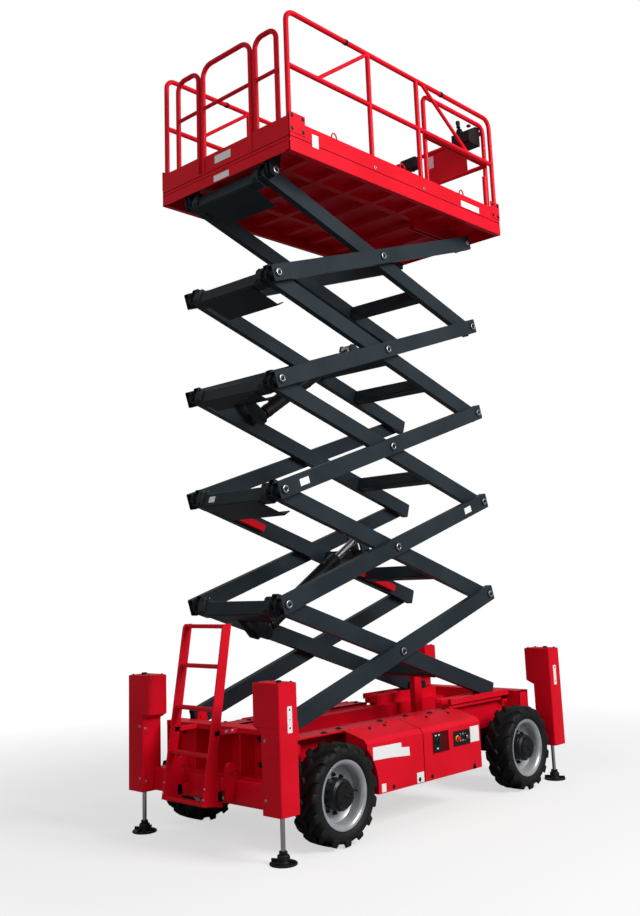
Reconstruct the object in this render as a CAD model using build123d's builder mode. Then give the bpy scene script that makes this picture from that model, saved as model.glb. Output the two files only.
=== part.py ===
from build123d import *
import math
import os

os.makedirs("parts", exist_ok=True)

# Rough-terrain scissor lift, raised to part height and standing on its four outrigger jacks.
# Millimetres. +X is the travel direction, +Y the left side, +Z up; the ground is Z = 0.
# The ladder is at the rear (-X), the sliding ends of the scissor arms are at the front (+X).

# ------------------------------------------------------------------ reach, wheels and axles
LADDER_REACH = 2030.0        # wheelbase middle to the ladder's foot
JACK_REACH = 1836.0          # wheelbase middle to the jack housings' outer faces
X_MID = (LADDER_REACH - JACK_REACH) / 2.0      # the wheelbase middle, so that X = 0 halves the length
WHEELBASE = 2431.0
TYRE_R = 354.0
TYRE_W = 240.0
TYRE_OUTER_Y = 845.0         # outer sidewall, from the centre line
BEAD_R = 222.0               # tyre bore on its rim
RIM_FLANGE_R = 240.0
RIM_DISH = 70.0              # how far the wheel disc lies behind the rim's edge
HUB_R = 92.0
HUB_FACE_Y = 838.0
WHEEL_FIT = 0.05             # radial running fit of a wheel on its spindle
SPINDLE_R = 45.0
KINGPIN_Y = 570.0
KINGPIN_R = 22.0
PIN_FIT = 0.05               # radial running fit of any pin

AXLE_Z = TYRE_R
X_REAR = X_MID - WHEELBASE / 2.0
X_FRONT = X_MID + WHEELBASE / 2.0
TYRE_Y = TYRE_OUTER_Y - TYRE_W / 2.0

# ------------------------------------------------------------------ scissor
STAGES = 5
ARM_PITCH = 2789.5           # between an arm's end pins
REST_ANGLE = 17.839          # degrees above level, as it stands
ARM_DEPTH = 134.0
ARM_W = 60.0
ARM_WALL = 6.0
ARM_OVERHANG = 59.0          # arm beyond its end pin
OUTER_ARM_FACE_Y = 537.0     # outermost face of the outer arms
ARM_GAP = 12.0               # between an outer and an inner arm
FIXED_PIN_X = X_MID - 1437.0
FIXED_PIN_Z = 841.4
PIN_R = 25.0
PIN_HEAD_R = 38.0
PIN_HEAD_T = 8.0
BOSS_R = 46.0
FACE_GAP = 0.3               # between faces that turn or slide on each other
OPEN_PIVOT_FIT = 0.5         # radial clearance where the loop of arms is opened

TUBE_D = 110.0               # box tube across the inner arms, depth
TUBE_L = 100.0               # and its length along the arm
TUBE_WALL = 6.0
TUBE_DROP = 36.0             # tube centre below the end pins
MID_TUBE_S = 700.0           # second box tube, from the centre pin towards the front end
HOUSING_W = 95.0             # bolted end housing of the box tube
SLIDE_BLOCK_H = 70.0
SLIDE_BLOCK_L = 200.0
SLIDE_BLOCK_W = 55.0
SLIDE_CORNER_R = 16.0
SADDLE_N = 12.0              # lower edge of that tube's ends, above the arm's middle line
TRACK_CLEAR = 7.0
TRACK_MOUTH = 5.0            # track flange edges stay this far inside the arms

THETA = math.radians(REST_ANGLE)
STAGE_RISE = ARM_PITCH * math.sin(THETA)
STAGE_RUN = ARM_PITCH * math.cos(THETA)
SLIDE_PIN_X = FIXED_PIN_X + STAGE_RUN
CENTRE_X = FIXED_PIN_X + STAGE_RUN / 2.0
TOP_PIN_Z = FIXED_PIN_Z + STAGES * STAGE_RISE
OUTER_ARM_Y = OUTER_ARM_FACE_Y - ARM_W / 2.0
INNER_ARM_Y = OUTER_ARM_Y - ARM_W - ARM_GAP
INNER_ARM_IN_Y = INNER_ARM_Y - ARM_W / 2.0
TRACK_WEB_Y = INNER_ARM_IN_Y - SLIDE_BLOCK_W - 2 * FACE_GAP

# ------------------------------------------------------------------ lift cylinders
FOOT_S = -1100.0             # barrel pin on the lower frame: along the arm, from the centre pin
FOOT_N = -130.0              # and square to the arm
HEAD_S = 56.0                # rod pin on the frame above
HEAD_N = 126.0
BARREL_R = 55.0
BARREL_WALL = 9.0
BARREL_L = 1050.0            # foot pin to gland face
ROD_R = 32.0
ROD_L = 720.0                # head pin back to the piston
EYE_R = 46.0
EYE_W = 100.0
CYL_PIN_R = 22.0
LUG_T = 20.0
HEAD_TUBE_S = 155.0          # the head's cross tube, clear of the rod when fully raised
HEAD_TUBE = 80.0

# ------------------------------------------------------------------ chassis
BEAM_IN_Y = 270.0
BEAM_OUT_Y = 425.0
BEAM_Z0 = 500.0
BEAM_Z1 = 720.0
BEAM_REAR_X = X_MID - 1690.0
BEAM_FRONT_X = X_MID + 1660.0
END_BEAM_T = 150.0
END_BEAM_Y = 590.0
REAR_BEAM_TOP = 830.0
FRONT_BEAM_TOP = 800.0
STEER_NOTCH_Y = 445.0        # the front beam is cut back here, clear of the steered tyres
STEER_NOTCH_Z = 622.0
TRACK_T = 8.0
TRACK_START = X_MID + 560.0
TRACK_END = X_MID + 1470.0
PIN_LUG_T = 18.0
TRAY_Y = 790.0
TRAY_Z = 300.0
TRAY_T = 10.0
TRAY_REAR_X = X_MID - 800.0
TRAY_FRONT_X = X_MID + 495.0

# ------------------------------------------------------------------ outrigger jacks
JACK_FACE_Y = 848.8
JACK_X_W = 180.0
JACK_Y_W = 188.0
JACK_HEAD_Y_W = 264.5
JACK_Z0 = 312.6
JACK_Z1 = 1174.4
JACK_HEAD_Z = 847.0
JACK_WALL = 6.0
JACK_CARRIER_Z1 = 520.0
FOOT_IN = 43.0               # jack rod axis inside the housing's outer X face
FOOT_Y = 761.0
JACK_ROD_R = 16.0
JACK_TUBE_R = 40.0
PAD_R = 95.0
PAD_T = 16.0
COLLAR_R = 42.0
COLLAR_H = 48.0

# ------------------------------------------------------------------ covers
COVER_FACE_Y = 820.0
COVER_HINGE_Y = 600.0
COVER_Z0 = 295.0
COVER_EAVE_Z = 680.0
COVER_TOP_Z = 745.0
COVER_T = 12.0
COVER_REAR_X = X_MID - 945.0
COVER_SEAM_X = X_MID - 270.0
COVER_FRONT_X = X_MID + 510.0
COVER_GAP = 8.0
CONTROLS_X0 = X_MID + 130.0  # ground controls, let into the right front cover
CONTROLS_X1 = X_MID + 350.0
CONTROLS_Z0 = 505.0
CONTROLS_Z1 = 620.0
CONTROLS_DEPTH = 44.0
CONTROLS_STAND = 6.0         # how far its face stands out of the cover
ARCH_GAP = 30.0

# ------------------------------------------------------------------ ladder
LADDER_TOP_REACH = 1790.0
LADDER_Z0 = 330.0
LADDER_Z1 = 1570.0
LADDER_Y = 230.0
LADDER_RAIL_T = 12.0
LADDER_RAIL_W = 75.0
RUNG_R = 14.0
RUNG_ZS = (345.0, 660.0, 972.0, 1268.0, 1552.0)

# ------------------------------------------------------------------ platform
DECK_REAR_X = X_MID - 1528.0
DECK_FRONT_X = X_MID + 1440.0
DECK_HALF_Y = 795.5
SKIRT_RISE = 62.0            # skirt's lower edge above the top pins
SKIRT_TOP_RISE = 320.0
SKIRT_T = 6.0
FLOOR_RISE = 186.0
FLOOR_T = 6.0
RIB_RISE = 88.0
RAIL_R = 19.0
TOP_RAIL_RISE = 1285.0
MID_RAIL_RISE = 806.0
RAIL_IN_Y = 30.0
GATE_HALF_Y = 300.0
GATE_CLEAR = 14.0
GATE_HINGE_Y = 294.0
GATE_HINGE_OFFSET = 5.0      # hinge pin inside the posts' line, so the leg swings clear
GATE_HINGE_R = 7.0

print("stage rise", round(STAGE_RISE, 2), "top pins", round(TOP_PIN_Z, 2))


def save(piece, name):
    piece.part.label = name
    export_step(piece.part, f"parts/{name}.step")


def arm_plane(stage, slope, y=0.0):
    """Plane of an arm frame: X along the arm to the front, Y square to it and up, Z towards -Y."""
    centre = (CENTRE_X, y, FIXED_PIN_Z + (stage - 0.5) * STAGE_RISE)
    along = (math.cos(THETA), 0.0, slope * math.sin(THETA))
    return Plane(origin=centre, x_dir=along, z_dir=(0, -1, 0))


def block(x0, x1, y0, y1, z0, z1, mode=Mode.ADD):
    """A square-edged bar or plate between two corners."""
    with Locations(((x0 + x1) / 2.0, (y0 + y1) / 2.0, (z0 + z1) / 2.0)):
        Box(x1 - x0, abs(y1 - y0), z1 - z0, mode=mode)


def bar(start, end, radius, mode=Mode.ADD):
    """A straight round bar from one point to another."""
    run = Vector(*end) - Vector(*start)
    with BuildSketch(Plane(origin=start, z_dir=run)) as section:
        Circle(radius)
    extrude(section.sketch, amount=run.length, mode=mode)


def bent_tube(points, radius, bend):
    """A round tube bent round the corners of its run."""
    with BuildLine() as run:
        FilletPolyline(*points, radius=bend)
    with BuildSketch(Plane(origin=run.line @ 0, z_dir=run.line % 0)) as section:
        Circle(radius)
    sweep(section.sketch, path=run.line)


# ------------------------------------------------------------------ tyres, rims and hubs
# Profiles are (distance outboard of the tyre's middle, radius), turned about the axle.
DISC_U = TYRE_W / 2.0 - RIM_DISH
HUB_FACE_U = HUB_FACE_Y - TYRE_Y
HUB_BACK_U = -60.0
BEAD_HALF = 88.0
DISC_T = 12.0
HUB_STUD_R = 130.0
SPINDLE_END_U = 55.0


def wheel_plane(x, side):
    return Plane(origin=(x, side * TYRE_Y, AXLE_Z), x_dir=(0, side, 0), z_dir=(side, 0, 0))


def turned(x, side, profile):
    """A ring or drum turned about one wheel's axle."""
    with BuildPart() as piece:
        with BuildSketch(wheel_plane(x, side)):
            with BuildLine():
                Polyline(*profile, close=True)
            make_face()
        revolve(axis=Axis((x, side * TYRE_Y, AXLE_Z), (0, 1, 0)))
    return piece


TYRE_PROFILE = (
    (-BEAD_HALF, BEAD_R), (BEAD_HALF, BEAD_R), (BEAD_HALF + 2, RIM_FLANGE_R + 6), (TYRE_W / 2.0, 290),
    (TYRE_W / 2.0 - 4, 336), (TYRE_W / 2.0 - 26, TYRE_R), (26 - TYRE_W / 2.0, TYRE_R),
    (4 - TYRE_W / 2.0, 336), (-TYRE_W / 2.0, 290), (-BEAD_HALF - 2, RIM_FLANGE_R + 6),
)
SEAT_R = BEAD_R - FACE_GAP
RIM_PROFILE = (
    (BEAD_HALF + 14, RIM_FLANGE_R), (BEAD_HALF + 14, RIM_FLANGE_R - 10), (BEAD_HALF + 4, SEAT_R - 12),
    (DISC_U + 14, SEAT_R - 22), (DISC_U, SEAT_R - 72), (DISC_U, HUB_R), (DISC_U - DISC_T, HUB_R),
    (DISC_U - DISC_T, SEAT_R - 72), (DISC_U - 6, SEAT_R - 16), (-BEAD_HALF - 6, SEAT_R - 16),
    (-BEAD_HALF - 14, RIM_FLANGE_R - 10), (-BEAD_HALF - 14, RIM_FLANGE_R), (-BEAD_HALF - 3, RIM_FLANGE_R),
    (-BEAD_HALF - 1, SEAT_R), (BEAD_HALF + 1, SEAT_R), (BEAD_HALF + 3, RIM_FLANGE_R),
)
HUB_PROFILE = (
    (HUB_BACK_U, SPINDLE_R + WHEEL_FIT), (HUB_BACK_U, HUB_R - 12), (DISC_U - DISC_T - 14, HUB_R - 12),
    (DISC_U - DISC_T - 14, HUB_STUD_R), (DISC_U - DISC_T, HUB_STUD_R), (DISC_U - DISC_T, HUB_R - 0.1),
    (HUB_FACE_U - 14, HUB_R - 0.1), (HUB_FACE_U, HUB_R - 24), (HUB_FACE_U, 0),
    (SPINDLE_END_U + 5, 0), (SPINDLE_END_U + 5, SPINDLE_R + WHEEL_FIT),
)
WHEELS = (("rear_left", X_REAR, 1), ("rear_right", X_REAR, -1), ("front_left", X_FRONT, 1), ("front_right", X_FRONT, -1))
for place, wheel_x, side in WHEELS:
    for part_name, profile in (("tyre", TYRE_PROFILE), ("rim", RIM_PROFILE), ("hub", HUB_PROFILE)):
        save(turned(wheel_x, side, profile), f"{part_name}_{place}")

# ------------------------------------------------------------------ axles and steering knuckles
AXLE_BEAM_X = 120.0
AXLE_BEAM_Z = 110.0
DIFF_R = 125.0
DIFF_W = 220.0
EAR_X = 90.0
EAR_T = 20.0
EAR_IN_Y = 480.0
EAR_OUT_Y = 615.0
KNUCKLE_HALF_H = 75.0
KNUCKLE_X = 84.0
SPINDLE_FLANGE_R = 76.0


def axle_beam(x, out_y):
    """Box beam with its drive housing in the middle and pads up to the side beams."""
    half = AXLE_BEAM_X / 2.0
    block(x - half, x + half, -out_y, out_y, AXLE_Z - AXLE_BEAM_Z / 2.0, AXLE_Z + AXLE_BEAM_Z / 2.0)
    bar((x, -DIFF_W / 2.0, AXLE_Z), (x, DIFF_W / 2.0, AXLE_Z), DIFF_R)
    for side in (1, -1):
        y0, y1 = sorted((side * (BEAM_IN_Y + 15), side * (BEAM_OUT_Y - 15)))
        block(x - 90, x + 90, y0, y1, AXLE_Z, BEAM_Z0)


with BuildPart() as rear_axle:
    axle_beam(X_REAR, EAR_IN_Y)
    for side in (1, -1):
        bar((X_REAR, side * EAR_IN_Y, AXLE_Z), (X_REAR, side * (TYRE_Y + HUB_BACK_U - 6), AXLE_Z), SPINDLE_FLANGE_R)
        bar((X_REAR, side * EAR_IN_Y, AXLE_Z), (X_REAR, side * (TYRE_Y + SPINDLE_END_U), AXLE_Z), SPINDLE_R)
save(rear_axle, "rear_axle")

with BuildPart() as front_axle:
    axle_beam(X_FRONT, EAR_IN_Y)
    for side in (1, -1):
        y0, y1 = sorted((side * (EAR_IN_Y - 40), side * EAR_OUT_Y))
        for low in (AXLE_Z + KNUCKLE_HALF_H, AXLE_Z - KNUCKLE_HALF_H - EAR_T):
            block(X_FRONT - EAR_X / 2.0, X_FRONT + EAR_X / 2.0, y0, y1, low, low + EAR_T)
        y0, y1 = sorted((side * (EAR_IN_Y - 40), side * (EAR_IN_Y + 20)))
        block(X_FRONT - EAR_X / 2.0, X_FRONT + EAR_X / 2.0, y0, y1, AXLE_Z - KNUCKLE_HALF_H, AXLE_Z + KNUCKLE_HALF_H)
        top = AXLE_Z + KNUCKLE_HALF_H + EAR_T
        bottom = AXLE_Z - KNUCKLE_HALF_H - EAR_T
        bar((X_FRONT, side * KINGPIN_Y, bottom), (X_FRONT, side * KINGPIN_Y, top), KINGPIN_R + PIN_FIT, mode=Mode.SUBTRACT)
save(front_axle, "front_axle")

for hand, side in (("left", 1), ("right", -1)):
    with BuildPart() as knuckle:
        bar((X_FRONT, side * KINGPIN_Y, AXLE_Z - KNUCKLE_HALF_H - EAR_T - 6),
            (X_FRONT, side * KINGPIN_Y, AXLE_Z + KNUCKLE_HALF_H + EAR_T + 6), KINGPIN_R)
        bar((X_FRONT, side * KINGPIN_Y, AXLE_Z - KNUCKLE_HALF_H + FACE_GAP),
            (X_FRONT, side * KINGPIN_Y, AXLE_Z + KNUCKLE_HALF_H - FACE_GAP), KNUCKLE_X / 2.0)
        bar((X_FRONT, side * KINGPIN_Y, AXLE_Z), (X_FRONT, side * (TYRE_Y + HUB_BACK_U - 6), AXLE_Z), 62)
        bar((X_FRONT, side * KINGPIN_Y, AXLE_Z), (X_FRONT, side * (TYRE_Y + SPINDLE_END_U), AXLE_Z), SPINDLE_R)
    save(knuckle, f"knuckle_{hand}")

# ------------------------------------------------------------------ chassis frame
JACK_REAR_FACE_X = X_MID - JACK_REACH - 35.0
JACK_CORNERS = (("rear_left", -1, 1), ("rear_right", -1, -1), ("front_left", 1, 1), ("front_right", 1, -1))


def jack_x(end):
    """Outer and inner X faces of the jack housings at one end."""
    outer = X_MID + JACK_REACH if end > 0 else X_MID - JACK_REACH - 35.0
    return outer, outer - end * JACK_X_W


JACK_IN_Y = JACK_FACE_Y - JACK_Y_W
with BuildPart() as chassis_frame:
    for side in (1, -1):
        y0, y1 = sorted((side * BEAM_IN_Y, side * BEAM_OUT_Y))
        block(BEAM_REAR_X, BEAM_FRONT_X, y0, y1, BEAM_Z0, BEAM_Z1)
        # C track of the sliding ends, its mouth outboard
        y0, y1 = sorted((side * (TRACK_WEB_Y - TRACK_T), side * (INNER_ARM_IN_Y - TRACK_MOUTH)))
        flange = FIXED_PIN_Z - SLIDE_BLOCK_H / 2.0 - FACE_GAP
        block(TRACK_START, TRACK_END, y0, y1, BEAM_Z1, flange)
        top = FIXED_PIN_Z + SLIDE_BLOCK_H / 2.0 + FACE_GAP
        block(TRACK_START, TRACK_END, y0, y1, top, top + TRACK_T)
        w0, w1 = sorted((side * (TRACK_WEB_Y - TRACK_T), side * TRACK_WEB_Y))
        block(TRACK_START, TRACK_END, w0, w1, BEAM_Z1, top + TRACK_T)
        # lugs each side of the fixed arm end
        for lug_y in (OUTER_ARM_Y - ARM_W / 2.0 - FACE_GAP - PIN_LUG_T, OUTER_ARM_FACE_Y + FACE_GAP):
            with BuildSketch(Plane.XZ.offset(-side * lug_y)):
                with BuildLine():
                    Polyline((FIXED_PIN_X - 60, BEAM_Z1 - 20), (FIXED_PIN_X - 45, FIXED_PIN_Z + 20),
                             (FIXED_PIN_X - 20, FIXED_PIN_Z + 45), (FIXED_PIN_X + 20, FIXED_PIN_Z + 45),
                             (FIXED_PIN_X + 45, FIXED_PIN_Z + 20), (FIXED_PIN_X + 60, BEAM_Z1 - 20), close=True)
                make_face()
            extrude(amount=-side * PIN_LUG_T)
        y0, y1 = sorted((side * BEAM_OUT_Y, side * (OUTER_ARM_FACE_Y + FACE_GAP + PIN_LUG_T)))
        block(FIXED_PIN_X - 85, FIXED_PIN_X + 60, y0, y1, BEAM_Z0 + 60, BEAM_Z1)
        bar((FIXED_PIN_X, side * (OUTER_ARM_Y - ARM_W / 2.0 - PIN_LUG_T - 6), FIXED_PIN_Z),
            (FIXED_PIN_X, side * (OUTER_ARM_FACE_Y + PIN_LUG_T + 8), FIXED_PIN_Z), PIN_R)
    # end beams and cross members
    block(BEAM_REAR_X, BEAM_REAR_X + END_BEAM_T, -END_BEAM_Y, END_BEAM_Y, BEAM_Z0, REAR_BEAM_TOP)
    left_edge = [(END_BEAM_Y, FRONT_BEAM_TOP), (END_BEAM_Y, STEER_NOTCH_Z),
                 (STEER_NOTCH_Y, STEER_NOTCH_Z), (STEER_NOTCH_Y - 20, BEAM_Z0)]
    right_edge = [(-y, z) for y, z in reversed(left_edge)]
    with BuildSketch(Plane(origin=(BEAM_FRONT_X, 0, 0), x_dir=(0, 1, 0), z_dir=(1, 0, 0))) as end_face:
        with BuildLine():
            Polyline(*left_edge, *right_edge, close=True)
        make_face()
    extrude(end_face.sketch, amount=-END_BEAM_T)
    for cross_x in (X_REAR + 420, X_MID, X_FRONT - 420):
        block(cross_x - 50, cross_x + 50, -BEAM_IN_Y, BEAM_IN_Y, BEAM_Z0, BEAM_Z0 + 120)
    # side trays that carry the batteries and the hydraulics behind the covers
    for side in (1, -1):
        y0, y1 = sorted((side * BEAM_IN_Y, side * TRAY_Y))
        block(TRAY_REAR_X, TRAY_FRONT_X, y0, y1, TRAY_Z, TRAY_Z + TRAY_T)
        for x0 in (TRAY_REAR_X, TRAY_FRONT_X - 60, (TRAY_REAR_X + TRAY_FRONT_X) / 2.0 - 30):
            h0, h1 = sorted((side * BEAM_IN_Y, side * (BEAM_IN_Y + 60)))
            block(x0, x0 + 60, h0, h1, TRAY_Z + TRAY_T, BEAM_Z0)
        y0, y1 = sorted((side * (BEAM_OUT_Y - 12), side * (COVER_HINGE_Y - FACE_GAP)))
        block(COVER_REAR_X, COVER_FRONT_X, y0, y1, COVER_TOP_Z - COVER_T, COVER_TOP_Z)
        y0, y1 = sorted((side * (BEAM_OUT_Y - 12), side * BEAM_OUT_Y))
        block(COVER_REAR_X, COVER_FRONT_X, y0, y1, BEAM_Z1 - 1, COVER_TOP_Z)
save(chassis_frame, "chassis_frame")

with BuildPart() as jack_beams:
    for place, end, side in JACK_CORNERS:
        outer, inner = jack_x(end)
        x0, x1 = sorted((outer - end * 20, inner + end * 20))
        lo = min(x0, x1)
        frame_face = BEAM_REAR_X if end < 0 else BEAM_FRONT_X
        near, far = sorted((frame_face, outer - end * 20))
        y0, y1 = sorted((side * (LADDER_Y + 20), side * JACK_IN_Y))
        block(near, far, y0, y1, JACK_Z0, JACK_CARRIER_Z1)
save(jack_beams, "jack_beams")

# ------------------------------------------------------------------ jack housings and legs
with BuildPart() as jack_housings:
    for place, end, side in JACK_CORNERS:
        outer, inner = jack_x(end)
        x0, x1 = sorted((outer, inner))
        y0, y1 = sorted((side * JACK_IN_Y, side * JACK_FACE_Y))
        block(x0, x1, y0, y1, JACK_Z0, JACK_Z1)
        y0, y1 = sorted((side * (JACK_FACE_Y - JACK_HEAD_Y_W), side * JACK_FACE_Y))
        block(x0, x1, y0, y1, JACK_HEAD_Z, JACK_Z1)
        foot_x = outer - end * JACK_X_W / 2.0
        bar((foot_x, side * FOOT_Y, JACK_Z0), (foot_x, side * FOOT_Y, JACK_Z1 - 60), JACK_TUBE_R + 0.5, mode=Mode.SUBTRACT)
        bar((foot_x, side * FOOT_Y, JACK_Z0), (foot_x, side * FOOT_Y, JACK_Z0 + 40), JACK_TUBE_R + 0.5)
        bar((foot_x, side * FOOT_Y, JACK_Z0), (foot_x, side * FOOT_Y, JACK_Z0 + 40), JACK_ROD_R + PIN_FIT, mode=Mode.SUBTRACT)
save(jack_housings, "jack_housings")

JACK_ROD_TOP = JACK_Z0 + 560.0
for place, end, side in JACK_CORNERS:
    outer, inner = jack_x(end)
    foot_x = outer - end * JACK_X_W / 2.0
    with BuildPart() as leg:
        bar((foot_x, side * FOOT_Y, PAD_T), (foot_x, side * FOOT_Y, JACK_ROD_TOP), JACK_ROD_R)
        bar((foot_x, side * FOOT_Y, 0), (foot_x, side * FOOT_Y, PAD_T), PAD_R)
        bar((foot_x, side * FOOT_Y, PAD_T), (foot_x, side * FOOT_Y, PAD_T + COLLAR_H), COLLAR_R)
    save(leg, f"jack_leg_{place}")

# ------------------------------------------------------------------ ladder
LEAN = (LADDER_REACH - LADDER_TOP_REACH) / (LADDER_Z1 - LADDER_Z0)
with BuildPart() as ladder:
    for side in (1, -1):
        foot = X_MID - LADDER_REACH
        head = X_MID - LADDER_TOP_REACH
        with BuildSketch(Plane.XZ.offset(-side * (LADDER_Y - LADDER_RAIL_T))):
            with BuildLine():
                Polyline((foot, LADDER_Z0), (head, LADDER_Z1), (head + LADDER_RAIL_W, LADDER_Z1),
                         (BEAM_REAR_X - 40, 840), (BEAM_REAR_X, 800), (BEAM_REAR_X, 560),
                         (foot + 190, LADDER_Z0), close=True)
            make_face()
        extrude(amount=-side * LADDER_RAIL_T)
    for z in RUNG_ZS:
        x = X_MID - LADDER_REACH + (z - LADDER_Z0) * LEAN + LADDER_RAIL_W / 2.0
        block(x - 24, x + 24, -LADDER_Y + 1, LADDER_Y - 1, z - RUNG_R, z + RUNG_R)
save(ladder, "ladder")

# ------------------------------------------------------------------ batteries behind the covers
PACK_Y = 330.0
PACK_H = 300.0
with BuildPart() as battery_packs:
    for side in (1, -1):
        y0, y1 = sorted((side * (BEAM_OUT_Y + 20), side * (BEAM_OUT_Y + 20 + PACK_Y)))
        block(TRAY_REAR_X + 120, TRAY_FRONT_X - 60, y0, y1, TRAY_Z + TRAY_T, TRAY_Z + TRAY_T + PACK_H)
save(battery_packs, "battery_packs")

# ------------------------------------------------------------------ side covers
ARCH_R = TYRE_R + ARCH_GAP
COVERS = (("rear_left", 1, COVER_REAR_X, COVER_SEAM_X - COVER_GAP / 2.0), ("rear_right", -1, COVER_REAR_X, COVER_SEAM_X - COVER_GAP / 2.0),
          ("front_left", 1, COVER_SEAM_X + COVER_GAP / 2.0, COVER_FRONT_X), ("front_right", -1, COVER_SEAM_X + COVER_GAP / 2.0, COVER_FRONT_X))
for place, side, x0, x1 in COVERS:
    with BuildPart() as cover:
        with BuildSketch(Plane(origin=(x0, 0, 0), x_dir=(0, side, 0), z_dir=(side, 0, 0))) as skin:
            with BuildLine():
                Polyline((COVER_HINGE_Y, COVER_TOP_Z), (COVER_FACE_Y - 30, COVER_EAVE_Z + 12), (COVER_FACE_Y, COVER_EAVE_Z - 20),
                         (COVER_FACE_Y, COVER_Z0), (COVER_FACE_Y - COVER_T, COVER_Z0), (COVER_FACE_Y - COVER_T, COVER_EAVE_Z - 26),
                         (COVER_FACE_Y - 38, COVER_EAVE_Z), (COVER_HINGE_Y, COVER_TOP_Z - COVER_T), close=True)
            make_face()
        extrude(amount=side * (x1 - x0))
        bar((X_REAR, side * (COVER_HINGE_Y - 50), AXLE_Z), (X_REAR, side * (COVER_FACE_Y + 50), AXLE_Z), ARCH_R, mode=Mode.SUBTRACT)
        if place == "front_right":
            block(CONTROLS_X0, CONTROLS_X1, side * (COVER_FACE_Y - 20), side * (COVER_FACE_Y + 5), CONTROLS_Z0, CONTROLS_Z1,
                  mode=Mode.SUBTRACT)
    save(cover, f"cover_{place}")

# ground controls: a box let into the right front cover, with its stop button and key switch
with BuildPart() as ground_controls:
    face_y = COVER_FACE_Y + CONTROLS_STAND
    block(CONTROLS_X0 + FACE_GAP, CONTROLS_X1 - FACE_GAP, -face_y, -face_y + CONTROLS_DEPTH,
          CONTROLS_Z0 + FACE_GAP, CONTROLS_Z1 - FACE_GAP)
    stop_x = CONTROLS_X0 + 45
    middle_z = (CONTROLS_Z0 + CONTROLS_Z1) / 2.0
    bar((stop_x, -face_y, middle_z), (stop_x, -face_y - 10, middle_z), 11)
    bar((stop_x, -face_y - 10, middle_z), (stop_x, -face_y - 22, middle_z), 19)
    bar((CONTROLS_X1 - 45, -face_y, middle_z), (CONTROLS_X1 - 45, -face_y - 8, middle_z), 14)
save(ground_controls, "ground_controls")

# ------------------------------------------------------------------ scissor arms
HALF = ARM_PITCH / 2.0


def arm_bar(stage, slope, y):
    """One hollow arm with welded bosses at its three pins."""
    length = ARM_PITCH + 2 * ARM_OVERHANG
    with BuildSketch(arm_plane(stage, slope, y)) as outline:
        RectangleRounded(length, ARM_DEPTH, 12)
    extrude(outline.sketch, amount=ARM_W / 2.0, both=True)
    with BuildSketch(arm_plane(stage, slope, y)) as hollow:
        Rectangle(length, ARM_DEPTH - 2 * ARM_WALL)
    extrude(hollow.sketch, amount=ARM_W / 2.0 - ARM_WALL, both=True, mode=Mode.SUBTRACT)
    with BuildSketch(arm_plane(stage, slope, y)) as bosses:
        with Locations((-HALF, 0), (0, 0), (HALF, 0)):
            Circle(BOSS_R)
    extrude(bosses.sketch, amount=ARM_W / 2.0, both=True)


def cylinder_lugs(stage, start_s, outline):
    """A pair of lug plates beside a cylinder's eye, with the eye's pin bosses outside them."""
    for side in (1, -1):
        y = side * (EYE_W / 2.0 + FACE_GAP + LUG_T / 2.0)
        with BuildSketch(arm_plane(stage, -1, y)) as plate:
            with BuildLine():
                Polyline(*outline, close=True)
            make_face()
        extrude(plate.sketch, amount=LUG_T / 2.0, both=True)


def slide_pin(side, z, outer_y):
    """Pin of a sliding end, from the arm into its block in the track."""
    bar((SLIDE_PIN_X, side * (TRACK_WEB_Y + FACE_GAP), z), (SLIDE_PIN_X, side * outer_y, z), PIN_R)


TUBE_FACE_S = -HALF + TUBE_L / 2.0 - 4
FOOT_LUG = ((TUBE_FACE_S, -TUBE_DROP + 40), (TUBE_FACE_S, -TUBE_DROP - 52), (FOOT_S - 60, FOOT_N - 62),
            (FOOT_S + 24, FOOT_N - 58), (FOOT_S + 52, FOOT_N - 20), (FOOT_S + 40, FOOT_N + 34))
HEAD_LUG = ((HEAD_TUBE_S + 36, 36), (HEAD_TUBE_S + 36, -36), (HEAD_TUBE_S - 36, -30), (HEAD_S - 50, HEAD_N - 14),
            (HEAD_S - 44, HEAD_N + 34), (HEAD_S, HEAD_N + 52), (HEAD_S + 44, HEAD_N + 34))

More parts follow.
